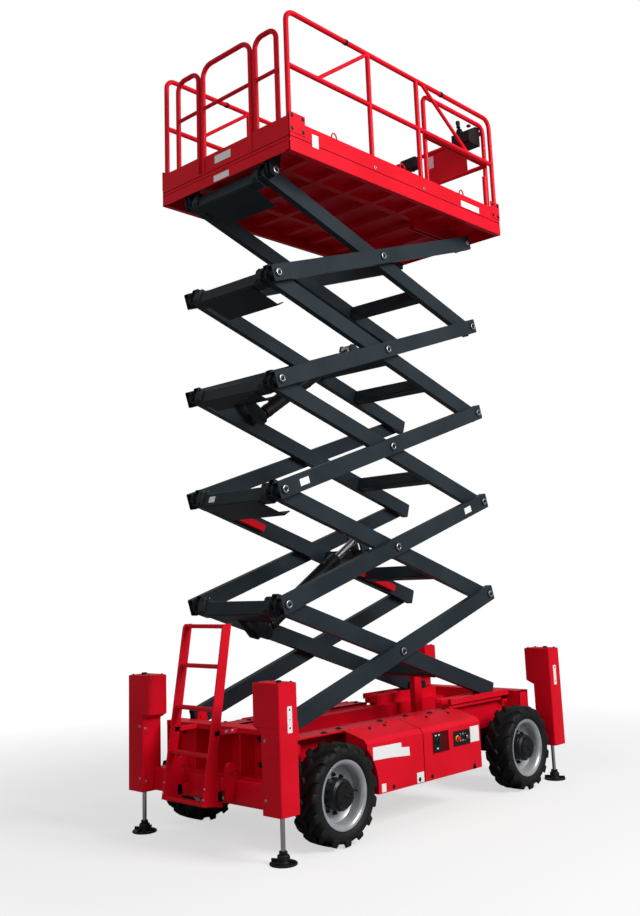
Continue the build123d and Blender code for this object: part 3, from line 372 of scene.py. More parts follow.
frame_shapes = [
    end_channel(BEAM_REAR_X, -1, REAR_BEAM_TOP, -END_BEAM_Y, END_BEAM_Y),
    end_channel(BEAM_FRONT_X, 1, FRONT_BEAM_TOP, -NOTCH_Y, NOTCH_Y),
]
for end, face_x, top_z in ((-1, BEAM_REAR_X, REAR_BEAM_TOP), (1, BEAM_FRONT_X, FRONT_BEAM_TOP)):
    x0, x1 = sorted((face_x - end * 0.001, face_x - end * (END_BEAM_T - 0.001)))
    for y in (-0.006, 0.245, -0.257, 0.578, -0.590):
        low_z = NOTCH_Z if end > 0 and abs(y) > NOTCH_Y else END_BEAM_Z0 + 0.001
        frame_shapes.append(block(x0, x1, y, y + 0.012, low_z, top_z - 0.001))
INTO_BEAM = 0.149            # how far behind an end beam's face the side beams begin
for side in (1, -1):
    front_back_x, notch_in = BEAM_FRONT_X - END_BEAM_T, side * (NOTCH_Y - WALL)
    frame_shapes += [
        end_channel(BEAM_FRONT_X, 1, FRONT_BEAM_TOP, side * NOTCH_Y, side * END_BEAM_Y, NOTCH_Z),
        block(front_back_x, BEAM_FRONT_X, notch_in, side * END_BEAM_Y, NOTCH_Z, NOTCH_Z + WALL),
        block(front_back_x, BEAM_FRONT_X, notch_in, side * NOTCH_Y, END_BEAM_Z0, NOTCH_Z),
        block(BEAM_REAR_X + INTO_BEAM, BEAM_FRONT_X - INTO_BEAM, side * BEAM_IN_Y, side * BEAM_OUT_Y, BEAM_Z0, BEAM_Z1),
        block(TRACK_START, TRACK_END, side * (TRACK_Y - TRACK_HALF), side * (TRACK_Y + TRACK_HALF), BEAM_Z1, 0.762),
        t_track(side, PIN_Z, 1, TRACK_START, TRACK_END),
        # pressed rail beside the track, with its end plate
        lengthways(handed(side, (
            (0.365, 0.719), (0.425, 0.719), (0.425, 0.732), (0.480, 0.732), (0.480, 0.808), (0.496, 0.808),
            (0.496, 0.768), (0.504, 0.768), (0.504, 0.816), (0.472, 0.816), (0.472, 0.740), (0.365, 0.740))),
            TRACK_START, TRACK_END),
        sideways(((TRACK_END - 0.090, 0.732), (TRACK_END, 0.692), (TRACK_END, 0.816), (TRACK_END - 0.090, 0.816)),
                 side * 0.472, side * 0.480),
        block(PIN_X - 0.085, PIN_X + 0.060, side * 0.424, side * 0.5553, 0.560, 0.720),
        rod((PIN_X, side * 0.453, PIN_Z), (PIN_X, side * 0.563, PIN_Z), PIN_R, 32),
        # battery tray with its hangers
        block(-0.703, 0.592, side * 0.270, side * 0.790, 0.300, 0.310)]
    frame_shapes += [block(x, x + 0.060, side * 0.270, side * 0.330, 0.310, 0.500) for x in (-0.703, -0.0855, 0.532)]
    lug = [(PIN_X + x, z) for x, z in ((-0.060, 0.700), (-0.045, PIN_Z + 0.020), (-0.020, PIN_Z + 0.045),
                                       (0.020, PIN_Z + 0.045), (0.045, PIN_Z + 0.020), (0.060, 0.700))]
    frame_shapes += [sideways(lug, side * y, side * (y + 0.018)) for y in (0.4587, 0.5373)]
    # top plates over the covers' inner edges and behind them, and the hinge barrels
    frame_shapes += [
        block(x0, x1, side * TOP_PLATE_IN_Y, side * out_y, low_z, TOP_PLATE_Z) for x0, x1, out_y, low_z in (
            (COVER_REAR_X, COVER_FRONT_X, COVER_HINGE_Y - 0.0003, TOP_PLATE_Z - WALL),
            (BEAM_REAR_X + INTO_BEAM, COVER_FRONT_X, BEAM_OUT_Y, BEAM_Z1 - 0.001),
            (BEAM_REAR_X + INTO_BEAM, COVER_REAR_X, 0.582, TOP_PLATE_Z - WALL))]
    frame_shapes += hinge_barrels(REAR_HINGES + FRONT_HINGES, side, (-0.060, -0.0305), (0.0305, 0.060))
frame_shapes += [block(x - 0.050, x + 0.050, -0.271, 0.271, 0.500, 0.620) for x in (-0.6985, X_MID, 0.8925)]
frame_piece = mesh_piece("welded_frame", red_coat, "chassis", closed=frame_shapes)
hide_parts("chassis_frame")

# box beams across the ends that hold the jacks, the front one on two hanger plates
REAR_CARRIER, FRONT_CARRIER = (-1.663, -1.513), (1.765, 1.905)
JACK_Z0, CARRIER_Z1, JACK_IN_Y = 0.3126, 0.485, 0.6608
beams = [sideways(rounded(x1 - x0, CARRIER_Z1 - JACK_Z0, 0.014, ((x0 + x1) / 2.0, (JACK_Z0 + CARRIER_Z1) / 2.0)),
                  -JACK_IN_Y, JACK_IN_Y) for x0, x1 in (REAR_CARRIER, FRONT_CARRIER)]
hanger = ((BEAM_FRONT_X, 0.560), (BEAM_FRONT_X, END_BEAM_Z0), (1.779, 0.483), (1.855, 0.483), (1.777, 0.560))
beams += [sideways(hanger, side * 0.245, side * 0.257) for side in (1, -1)]
beam_piece = mesh_piece("jack_box_beams", red_coat, "chassis", closed=beams)
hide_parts("jack_beams")

# lashing lugs: flame-cut plates with round heads, a shackle hole through each
LUG_HALF, LUG_TOP, LUG_BORE_R, LUG_IN_Y, LUG_OUT_Y = 0.047, 0.610, 0.026, 0.2575, 0.2825
round_head = np.linspace(0.0, math.pi, 25)
lug_loops = []
for lug_x, low_z, bore_z in ((-1.706, 0.357, 0.516), (1.835, CARRIER_Z1, 0.563)):
    crown = np.stack([lug_x + LUG_HALF * np.cos(round_head),
                      LUG_TOP - LUG_HALF + LUG_HALF * np.sin(round_head)], axis=-1)
    foot = np.stack([np.linspace(lug_x - LUG_HALF, lug_x + LUG_HALF, 7), np.full(7, low_z)], axis=-1)
    outline = np.concatenate([crown, foot])
    aim = np.arctan2(outline[:, 1] - bore_z, outline[:, 0] - lug_x)
    hole = np.stack([lug_x + LUG_BORE_R * np.cos(aim), bore_z + LUG_BORE_R * np.sin(aim)], axis=-1)
    lug_loops += [pierced(outline, hole, (1, 0, 0), (0, 0, 1), -side * LUG_IN_Y, -side * LUG_OUT_Y)
                  for side in (1, -1)]
mesh_piece("lashing_lugs", red_coat, "chassis", loops=lug_loops)

# bolts through the end channels and along the top plates beside the covers
REAR_WEB_X, FRONT_WEB_X = -1.455, 1.619
mesh_piece("end_channel_bolts", black_paint, "chassis", closed=(
    bolts([(REAR_WEB_X, y, z) for y in (-0.54, -0.32, 0.32, 0.54) for z in (0.56, 0.74)], (-1, 0, 0))
    + bolts([(FRONT_WEB_X, y, z) for y in (-0.36, -0.30, 0.30, 0.36) for z in (0.56, 0.72)], (1, 0, 0))))
mesh_piece("top_plate_bolts", black_paint, "chassis", closed=bolts(
    [(x, side * y, TOP_PLATE_Z) for side in (1, -1)
     for x, y in ((-1.02, 0.55), (-0.80, 0.50), (-0.31, 0.50), (0.02, 0.50), (0.27, 0.56), (0.55, 0.50))],
    (0, 0, 1), flats=0.030, tall=0.012))

# the post on the front cross member that the maintenance prop is parked against
POST_X = 0.8925
mesh_piece("prop_post", red_coat, "chassis", closed=[
    plate((POST_X, 0.030, 0.86), (-1, 0, 0), (0, 0, 1), 0.100, 0.480, 0.060, corner=0.006, bevel=0.004),
    plate((POST_X + 0.02, 0.038, 1.045), (-1, 0, 0), (0, 0, 1), 0.170, 0.150, 0.076, corner=0.020, bevel=0.003)])

# ---------------------------------------------------------------- axles
# Box axles with their drive housings, and the steering knuckles, all cast or welded steel in satin
# black paint. Zinc-plated bolts hold the drive covers.
AXLE_Z = 0.354
DRIVE_FACE_Y = 0.110
DRIVE_BOLT_R = 0.106
dress(black_paint, "rear_axle", "front_axle", "knuckle_left", "knuckle_right")
for name, axle_x in (("rear", -1.1185), ("front", 1.3125)):
    ring = np.arange(10) * 2.0 * math.pi / 10
    mesh_piece(f"drive_cover_bolts_{name}", zinc, "chassis", closed=[
        stack for side in (1, -1) for stack in bolts(
            [(axle_x + DRIVE_BOLT_R * math.sin(a), side * DRIVE_FACE_Y, AXLE_Z + DRIVE_BOLT_R * math.cos(a))
             for a in ring], (0, side, 0), flats=0.017, tall=0.009)])

# ---------------------------------------------------------------- wheels
# Foam-filled rubber tyres, moulded with deep angled lugs, on deep-dished pressed steel rims in
# silver enamel, each bolted to a black cast hub that stands out through the disc.
TYRE_HEX = ("#0b0c0d", "#141516")
SILVER_HEX = ("#a6a9ad", "#b6b9bd")


def rubber(name, shades):
    """Tyre rubber: dull, faintly mottled, with the fine grain of its mould."""
    material = empty_material(name)
    tree = material.node_tree
    place = add(tree, "ShaderNodeTexCoord").outputs["Object"]
    mottle = add(tree, "ShaderNodeTexNoise", {"Vector": place, "Scale": 14.0, "Detail": 5.0})
    shade = add(tree, "ShaderNodeValToRGB", {"Fac": mottle})
    for element, hex_colour in zip(shade.color_ramp.elements, shades):
        element.color = linear(hex_colour)
    grain = add(tree, "ShaderNodeTexNoise", {"Vector": place, "Scale": 700.0, "Detail": 2.0})
    relief = add(tree, "ShaderNodeBump", {"Height": grain, "Strength": 0.25, "Distance": 0.001})
    dull = add(tree, "ShaderNodeMapRange", {"Value": mottle, "To Min": 0.55, "To Max": 0.75})
    finish = add(tree, "ShaderNodeBsdfPrincipled", {
        "Base Color": shade, "Roughness": dull, "Normal": relief, "Specular IOR Level": 0.3})
    add(tree, "ShaderNodeOutputMaterial", {"Surface": finish})
    return material


TYRE_R = 0.354
TYRE_Y = 0.725
LUG_DEPTH = 0.026
LUGS = 15                    # on each side of the tread
LUG_SWEEP = math.radians(24.0)
NUT_CIRCLE_R = 0.131
NUTS = 10
DISC_Y = 0.715
HUB_END_Y = 0.838
# the carcass profile: (radius, distance outboard of the tyre's middle), going round it once
CARCASS = (
    (0.222, 0.088), (0.236, 0.092), (0.243, 0.098), (0.252, 0.108), (0.272, 0.1165), (0.296, 0.1185),
    (0.314, 0.112), (0.324, 0.098), (TYRE_R - LUG_DEPTH, 0.070), (TYRE_R - LUG_DEPTH + 0.001, 0.0),
    (TYRE_R - LUG_DEPTH, -0.070), (0.324, -0.098), (0.314, -0.112), (0.296, -0.1185), (0.272, -0.1165),
    (0.252, -0.108), (0.243, -0.098), (0.236, -0.092), (0.222, -0.088),
)


def lugs(centre):
    """Angled lugs of one tyre. Along a lug, t runs from 0 at the tread's middle to 1 down the sidewall:
    it moves outboard and round the tyre by the sweep, and its crown follows the tread and the shoulder."""
    t = np.linspace(0.0, 1.0, 10)
    outboard = np.interp(t, [0, 0.70, 0.84, 1], [-0.014, 0.100, 0.1185, 0.1200])
    crown = np.interp(t, [0, 0.70, 0.84, 1], [TYRE_R, TYRE_R - 0.001, TYRE_R - 0.014, TYRE_R - 0.052])
    root = np.interp(t, [0, 0.70, 0.84, 1], [0.322, 0.318, 0.309, 0.288])
    root_out = np.interp(t, [0, 0.70, 0.84, 1], [-0.014, 0.090, 0.102, 0.112])
    half_width = np.interp(t, [0, 0.45, 0.8, 1], [0.023, 0.025, 0.033, 0.034])
    swing = LUG_SWEEP * np.interp(t, [0, 0.58, 0.8, 1], [0, 0.80, 0.98, 1])
    shapes = []
    for hand in (1, -1):
        for number in range(LUGS):
            middle = (number + (0.5 if hand < 0 else 0.0)) * 2 * math.pi / LUGS + swing
            ring = []
            half = ((root, root_out, 1.25), (crown - 0.004, outboard, 1.0), (crown, outboard, 0.88))
            for radius, out, wide in half + tuple((r, o, -w) for r, o, w in reversed(half)):
                angle = middle + wide * half_width / TYRE_R
                ring.append(np.stack([radius * np.sin(angle), hand * out, radius * np.cos(angle)], axis=-1))
            stack = np.stack(ring, axis=1)
            shapes.append(np.array(centre) + (stack if hand > 0 else stack[:, ::-1]))
    return shapes


tyre_rubber = rubber("tyre_rubber", TYRE_HEX)
silver_enamel = coat("silver_wheel_enamel", SILVER_HEX, roughness=0.30, clear=0.2, patch_mm=120.0, specular=0.5)
silver_enamel.node_tree.nodes["Principled BSDF"].inputs["Metallic"].default_value = 0.35
# rim and hub profiles: (radius, distance outboard of the tyre's middle)
RIM = (
    (0.240, 0.102), (0.230, 0.102), (0.2097, 0.092), (0.1977, 0.068), (0.1937, 0.014), (0.1517, -0.010),
    (0.110, -0.010), (0.110, -0.022), (0.1477, -0.022), (0.2057, -0.004), (0.2057, -0.094), (0.230, -0.102),
    (0.240, -0.102), (0.240, -0.091), (0.2217, -0.089), (0.2217, 0.089), (0.240, 0.091),
)
HUB = (
    (0.080, -0.060), (0.080, -0.036), (0.130, -0.036), (0.130, -0.022), (0.1099, -0.022), (0.1099, 0.079),
    (0.090, 0.091), (0.084, 0.113),
)
for corner in ("rear_left", "rear_right", "front_left", "front_right"):
    rim_low, rim_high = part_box(f"rim_{corner}")
    centre = np.array((rim_low + rim_high) / 2.0)
    side = math.copysign(1.0, centre[1])
    centre[1] = side * TYRE_Y
    angles = np.arange(72) * 2.0 * math.pi / 72
    radius, out = np.array(CARCASS).T
    carcass = np.stack([radius[:, None] * np.sin(angles), out[:, None] + 0.0 * angles,
                        radius[:, None] * np.cos(angles)], axis=-1)
    tyre = mesh_piece(f"lugged_tyre_{corner}", tyre_rubber, f"wheel_{corner}",
                      closed=lugs(centre), loops=[centre + carcass[:, ::-1]])
    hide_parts(f"tyre_{corner}")
    rim = mesh_piece(f"dished_rim_{corner}", silver_enamel, f"wheel_{corner}",
                     loops=[turned(RIM[::-1], 72, centre, (0.0, side, 0.0))], smooth_deg=50.0)
    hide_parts(f"rim_{corner}")
    hub = mesh_piece(f"drive_hub_{corner}", black_paint, f"wheel_{corner}",
                     closed=[turned(HUB, 56, centre, (0.0, side, 0.0))])
    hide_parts(f"hub_{corner}")
    # wheel nuts stand on the disc round the hub, cover bolts on the hub's shoulder, two plugs on its end
    out_axis = (0.0, side, 0.0)
    rounds = np.arange(NUTS) * 2.0 * math.pi / NUTS
    nuts = [turned([(0.0155, 0.0), (0.0155, 0.016), (0.012, 0.020), (0.007, 0.020), (0.007, 0.030), (0.005, 0.032)], 6,
                   (centre[0] + NUT_CIRCLE_R * math.sin(a), side * DISC_Y, centre[2] + NUT_CIRCLE_R * math.cos(a)),
                   out_axis) for a in rounds]
    covers = bolts([(centre[0] + 0.062 * math.sin(a), side * HUB_END_Y, centre[2] + 0.062 * math.cos(a))
                    for a in rounds[::2] + 0.2], out_axis, flats=0.013, tall=0.007)
    plugs = bolts([(centre[0] + x, side * HUB_END_Y, centre[2] + z) for x, z in ((0.0, 0.0), (0.030, -0.018))],
                  out_axis, flats=0.019, tall=0.008)
    ribs = [turned([(0.1125, 0.0), (0.1125, 0.010), (0.1095, 0.013)], 40, (centre[0], side * y, centre[2]), out_axis)
            for y in (0.728, 0.776)]
    mesh_piece(f"wheel_nuts_{corner}", black_paint, f"wheel_{corner}",
               closed=nuts + covers + plugs + ribs)
    mesh_piece(f"valve_{corner}", black_paint, f"wheel_{corner}", closed=[turned(
        [(0.007, 0.0), (0.007, 0.012), (0.0045, 0.014), (0.0045, 0.040), (0.006, 0.041), (0.006, 0.052),
         (0.004, 0.054)], 12, (centre[0] + 0.175, side * 0.738, centre[2]), out_axis)])

# ---------------------------------------------------------------- batteries and side covers
# Battery packs in moulded black cases stand on the side trays, behind folded sheet covers that
# hinge up from their inner top edge. The ground controls stand on the right front cover.
CASE_HEX = ("#0e0f11", "#151619")
STOP_HEX = ("#d8141c", "#de1b22")
FACE_Y = 0.820
ISOLATOR_Y = 0.8212
black_plastic = coat("moulded_black_plastic", CASE_HEX, roughness=0.5, clear=0.0, peel_mm=1.4, peel=0.12)
stop_plastic = coat("moulded_red_plastic", STOP_HEX, roughness=0.3, clear=0.3, peel=0.0)
# the red coat painted darker as shade, for the back panel of the isolator's window
painted_shade_red = coat("red_powder_coat_in_shade", ("#4c0408", "#5a060b"), roughness=0.5, clear=0.0, specular=0.1)
dress(black_plastic, "battery_packs", "ground_controls")
dress(red_coat, "cover_rear_left", "cover_rear_right", "cover_front_left", "cover_front_right")


def shape_plate(outline, side, depth, thick):
    """A flat label on a cover's face: its outline of (x, z) is stepped outwards once by its thickness."""
    points = np.array(outline, float)
    if side > 0:
        points = points[::-1]
    rows = [np.stack([points[:, 0], np.full(len(points), side * y), points[:, 1]], axis=-1)
            for y in (depth, depth + thick)]
    return np.stack(rows)


LABEL_T = 0.0012


def oblong(x0, x1, z0, z1):
    """The corners of an upright rectangle in (x, z)."""
    return ((x0, z0), (x1, z0), (x1, z1), (x0, z1))


for hand, side in HANDS:
    outward = (0.0, float(side), 0.0)
    run = (-side, 0.0, 0.0)
    # blank labels, the rear one stepped like the two that overlap there
    mesh_piece(f"rear_cover_labels_{hand}", white_vinyl, f"cover_rear_{hand}", closed=[
        shape_plate(((-0.785, 0.540), (-0.567, 0.533), (-0.349, 0.517), (-0.353, 0.582), (-0.449, 0.590),
                     (-0.449, 0.626), (-0.785, 0.632)), side, FACE_Y, LABEL_T),
        shape_plate(oblong(-0.274, -0.186, 0.300, 0.377), side, FACE_Y, LABEL_T),
        shape_plate(oblong(-0.700, -0.650, 0.302, 0.362), side, FACE_Y, LABEL_T)])
    mesh_piece(f"front_cover_label_{hand}", white_vinyl, f"cover_front_{hand}", closed=[
        shape_plate(oblong(0.462, 0.587, 0.508, 0.632), side, FACE_Y, LABEL_T)])
    # quarter-turn catches along the foot of each cover, and round lift stops by the hinges
    for name, xs, stops in (("rear", (-0.560, -0.240), (-0.600, -0.420)), ("front", (-0.080, 0.500), (0.120, 0.420))):
        catches = [turned([(0.017, 0.0), (0.017, 0.002), (0.013, 0.004), (0.006, 0.004), (0.006, 0.005)], 24,
                          (x, side * FACE_Y, 0.325), outward) for x in xs]
        mesh_piece(f"cover_catches_{name}_{hand}", black_plastic, f"cover_{name}_{hand}",
                   closed=catches + [plate((xs[1], side * (FACE_Y - 0.010), 0.295), (0, side, 0), (1, 0, 0),
                                           0.020, 0.050, 0.026, corner=0.004)])
        slope = np.array([0.0, side * 0.053, 0.190])
        studs = [turned([(0.014, 0.0), (0.014, 0.004), (0.010, 0.010), (0.004, 0.013)], 20,
                        (x, side * 0.640, 0.7338), slope) for x in stops]
        mesh_piece(f"cover_stops_{name}_{hand}", black_plastic, f"cover_{name}_{hand}", closed=studs)
    # battery isolator on the front cover's face: a black plate with its turning key
    mesh_piece(f"isolator_{hand}", black_plastic, f"cover_front_{hand}", closed=[
        plate((0.000, side * ISOLATOR_Y, 0.568), run, (0, 0, 1), 0.090, 0.140, 0.008, corner=0.006),
        turned([(0.026, 0.006), (0.026, 0.016), (0.022, 0.020)], 28, (0.0, side * ISOLATOR_Y, 0.580), outward),
        plate((0.000, side * (ISOLATOR_Y + 0.018), 0.580), run, (0, 0, 1), 0.012, 0.044, 0.012, corner=0.004)])
    mesh_piece(f"isolator_marks_{hand}", white_vinyl, f"cover_front_{hand}", closed=[
        plate((x, side * (ISOLATOR_Y + 0.0075), z), run, (0, 0, 1), 0.020, 0.010, 0.0010, corner=0.001, bevel=0.0003)
        for x, z in ((-0.022, 0.622), (0.022, 0.622), (0.0, 0.522))])

# folded end walls, the rolled lip round each rear wheel arch, and the covers' own hinge barrels
ARCH_R, REAR_AXLE_X = 0.384, -1.1185
lip_turn = np.radians(np.linspace(-8.8, 44.5, 26))
for hand, side in HANDS:
    arc = [np.stack([REAR_AXLE_X + r * np.cos(lip_turn), AXLE_Z + r * np.sin(lip_turn)], axis=-1)
           for r in (ARCH_R + 0.0002, ARCH_R + 0.008)]
    mesh_piece(f"rear_cover_walls_{hand}", red_coat, f"cover_rear_{hand}", closed=[
        lengthways([(side * y, z) for y, z in ((0.612, 0.730), (0.782, 0.681), (0.809, 0.654), (0.809, 0.628),
                                               (0.612, 0.628))], COVER_REAR_X + 0.001, COVER_REAR_X + 0.007),
        sideways(np.concatenate([arc[0], arc[1][::-1]]), side * 0.765, side * 0.8085)] + [
        rod((x - 0.030, side * COVER_HINGE_Y, 0.745), (x + 0.030, side * COVER_HINGE_Y, 0.745), 0.008)
        for x in (-0.728, -0.293)])
    mesh_piece(f"front_cover_walls_{hand}", red_coat, f"cover_front_{hand}", closed=[
        lengthways([(side * y, z) for y, z in ((0.700, 0.703), (0.782, 0.681), (0.809, 0.654), (0.809, 0.295),
                                               (0.700, 0.295))], COVER_FRONT_X - 0.007, COVER_FRONT_X - 0.001)] + [
        rod((x - 0.030, side * COVER_HINGE_Y, 0.745), (x + 0.030, side * COVER_HINGE_Y, 0.745), 0.008)
        for x in (-0.053, 0.487)])
    # the isolator's window: a back panel in the red coat painted dark as shade, inside a thin folded frame that stands
    # on the cover's face
    x0, x1, z0, z1 = -0.055, 0.157, 0.489, 0.645
    edge, frame_in, frame_out = 0.005, side * FACE_Y, side * (FACE_Y + 0.004)
    mesh_piece(f"isolator_window_{hand}", painted_shade_red, f"cover_front_{hand}", closed=[
        block(x0, x1, frame_in, side * (FACE_Y + LABEL_T), z0, z1)])
    mesh_piece(f"isolator_frame_{hand}", red_coat, f"cover_front_{hand}", closed=[
        block(x0 - edge, x1 + edge, frame_in, frame_out, z, z + edge) for z in (z0 - edge, z1)] + [
        block(x, x + edge, frame_in, frame_out, z0, z1) for x in (x0 - edge, x1)])

# the ground controls' stop button on its yellow collar, key switch and toggles
YELLOW_HEX = ("#e8b500", "#efbd08")
yellow_plastic = coat("moulded_yellow_plastic", YELLOW_HEX, roughness=0.4, clear=0.0, peel=0.0)
STOP_PLACE = (0.272, -0.826, 0.5625)
KEY_PLACE = (0.402, -0.834, 0.5625)
mesh_piece("ground_stop_collar", yellow_plastic, "cover_front_right", closed=[
    turned([(0.026, 0.0), (0.026, 0.003), (0.024, 0.004)], 32, STOP_PLACE, (0, -1, 0))])
mesh_piece("ground_stop_button", stop_plastic, "cover_front_right", closed=[
    turned([(0.012, 0.003), (0.012, 0.009), (0.0195, 0.0095), (0.0200, 0.013), (0.0200, 0.020), (0.0175, 0.024),
            (0.010, 0.0255)], 32, STOP_PLACE, (0, -1, 0))])
mesh_piece("ground_key_and_toggles", zinc, "cover_front_right", closed=[
    turned([(0.0150, 0.0), (0.0150, 0.002), (0.0110, 0.003), (0.0110, 0.005)], 28, KEY_PLACE, (0, -1, 0)),
    plate((0.402, -0.8385, 0.5625), (1, 0, 0), (0, 0, 1), 0.0030, 0.016, 0.016, corner=0.001)] + [
    turned([(0.009, 0.0), (0.009, 0.003), (0.0035, 0.004), (0.0030, 0.018), (0.0042, 0.026), (0.002, 0.028)], 16,
           (x, -0.826, z), (0, -1, 0.15)) for x in (0.315, 0.352) for z in (0.540, 0.590)])

# ---------------------------------------------------------------- outrigger jacks
# Four box housings welded to the jack beams. Each holds a ground-chrome rod on a black cast pad,
# under a bolted cap plate.
CHROME_HEX = "#d9dbde"
COLLAR_TOP_Z = 0.064


def chromed(name, hex_colour, black_below=None):
    """Hard chrome over ground steel: a mirror with hair-fine marks round the rod. Below a height, where
    the rod is screwed into its cast foot, the finish is black paint."""
    material = empty_material(name)
    tree = material.node_tree
    place = add(tree, "ShaderNodeTexCoord").outputs["Object"]
    marks = add(tree, "ShaderNodeTexNoise", {"Vector": place, "Scale": 260.0, "Detail": 2.0})
    shine = add(tree, "ShaderNodeMapRange", {"Value": marks, "To Min": 0.10, "To Max": 0.24})
    finish = add(tree, "ShaderNodeBsdfPrincipled", {
        "Base Color": linear(hex_colour), "Metallic": 1.0, "Roughness": shine})
    if black_below is not None:
        cast = add(tree, "ShaderNodeBsdfPrincipled", {"Base Color": linear(BLACK_HEX[0]), "Roughness": 0.5})
        height = add(tree, "ShaderNodeSeparateXYZ", {"Vector": place}).outputs["Z"]
        above = add(tree, "ShaderNodeMath", {0: height, 1: black_below}, operation="GREATER_THAN")
        finish = add(tree, "ShaderNodeMixShader", {0: above, 1: cast, 2: finish})
    add(tree, "ShaderNodeOutputMaterial", {"Surface": finish})
    return material


chrome = chromed("ground_hard_chrome", CHROME_HEX)
jack_chrome = chromed("chrome_rod_in_black_foot", CHROME_HEX, black_below=COLLAR_TOP_Z)
JACKS = (("rear_left", -1.774, -1.594, 1), ("rear_right", -1.774, -1.594, -1), ("front_left", 1.933, 1.753, 1),
         ("front_right", 1.933, 1.753, -1))
JACK_TOP_Z = 1.1744
JACK_FOOT_Y = 0.761
JACK_CAP_Y, JACK_CAP_T = 0.7166, 0.004
JACK_FACE_Y = 0.8488
housings, caps, screws, strips, sight_hole_shade_discs, vents = [], [], [], [], [], []
for corner, outer_x, inner_x, side in JACKS:
    end = math.copysign(1.0, outer_x)
    housings += [
        upwards(rounded(0.180, 0.188, 0.012, ((outer_x + inner_x) / 2.0, side * 0.7548)), JACK_Z0, 0.884),
        upwards(rounded(0.180, 0.2645, 0.012, ((outer_x + inner_x) / 2.0, side * 0.71655)), 0.883, JACK_TOP_Z),
        lengthways([(side * y, z) for y, z in ((0.6808, 0.847), (0.6608, 0.847), (0.5843, 0.883), (0.6808, 0.883))],
                   min(outer_x, inner_x) + 0.012, max(outer_x, inner_x) - 0.012)]
    middle_x = (outer_x + inner_x) / 2.0
    caps.append(plate((middle_x, side * JACK_CAP_Y, JACK_TOP_Z), (1, 0, 0), (0, 1, 0), 0.164, 0.246, JACK_CAP_T,
                      corner=0.014))
    vents.append(turned([(0.020, 0.0), (0.020, 0.010), (0.016, 0.014), (0.010, 0.015)], 24,
                        (middle_x, side * JACK_FOOT_Y, JACK_TOP_Z + JACK_CAP_T), (0, 0, 1)))
    vents += bolts([(middle_x + x, side * (JACK_CAP_Y + y), JACK_TOP_Z + JACK_CAP_T)
                    for x in (-0.064, 0.064) for y in (-0.100, 0.100)], (0, 0, 1), flats=0.013, tall=0.007)
    # zinc screws on the inboard side of the outer face and on the broad face
    for z in (0.795, 0.410):
        screws += bolts([(outer_x, side * 0.700, z)], (end, 0, 0), flats=0.012, tall=0.005)
        screws += bolts([(middle_x + end * 0.060, side * 0.6608, z - 0.02)], (0, -side, 0), flats=0.012, tall=0.005)
    # the level strip on the broad face, with its three sight holes drawn as black discs of painted shade
    strip_x = middle_x - end * 0.010
    strips.append(plate((strip_x, side * JACK_FACE_Y, 0.935), (-side, 0, 0), (0, 0, 1), 0.046, 0.176, 0.0016,
                        corner=0.003, bevel=0.0005))
    sight_hole_shade_discs += [turned([(r, 0.0), (r, 0.0010)], 20, (strip_x, side * (JACK_FACE_Y + LABEL_T), z), (0, side, 0))
             for z, r in ((1.000, 0.007), (0.935, 0.004), (0.880, 0.007))]
housing_piece = mesh_piece("jack_box_housings", red_coat, "chassis", closed=housings)
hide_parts("jack_housings")
mesh_piece("jack_caps", red_coat, "chassis", closed=caps)
mesh_piece("jack_vents_and_bolts", black_paint, "chassis", closed=vents)
mesh_piece("jack_screws", zinc, "chassis", closed=screws)
mesh_piece("jack_level_strips", white_vinyl, "chassis", closed=strips)
# black discs painted as the shade inside the sight holes
mesh_piece("jack_sight_hole_painted_shade", black_paint, "chassis", closed=sight_hole_shade_discs)
for corner, outer_x, inner_x, side in JACKS:
    middle_x = (outer_x + inner_x) / 2.0
    foot = (middle_x, side * JACK_FOOT_Y, 0.0)
    lock_nut = turned([(0.030, 0.064), (0.030, 0.084), (0.026, 0.088)], 6, foot, (0, 0, 1))
    webs = []
    for a in np.arange(4) * math.pi / 2.0 + 0.4:
        ca, sa = math.cos(a), math.sin(a)
        webs.append(plate((foot[0] + 0.066 * ca + 0.004 * sa, foot[1] + 0.066 * sa - 0.004 * ca, 0.025),
                          (ca, sa, 0), (0, 0, 1), 0.052, 0.020, 0.008, corner=0.003))
    leg = mesh_piece(f"jack_rod_and_pad_{corner}", jack_chrome, f"jack_leg_{corner}", closed=[turned(
        [(0.091, 0.0), (0.095, 0.003), (0.095, 0.012), (0.089, 0.016), (0.048, 0.018), (0.042, 0.024), (0.042, 0.058),
         (0.036, 0.064), (0.016, 0.064), (0.016, 0.900)], 48, foot, (0, 0, 1))])
    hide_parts(f"jack_leg_{corner}")
    mesh_piece(f"jack_foot_nut_{corner}", black_paint, f"jack_leg_{corner}", closed=[lock_nut] + webs)

# ---------------------------------------------------------------- ladder
# Two cut plate stringers with welded box rungs, held to the rear end beam and the rear jack beam by
# plate brackets, all in the red coat.
STRINGER_FOOT_X = -1.933
STRINGER_FOOT_Z = 0.330
STRINGER_LEAN = 0.17339


def stringer_edge(z):
    """The stringers' outer edge: its foot moved in by the lean for each metre of height."""
    return STRINGER_FOOT_X + (z - STRINGER_FOOT_Z) * STRINGER_LEAN


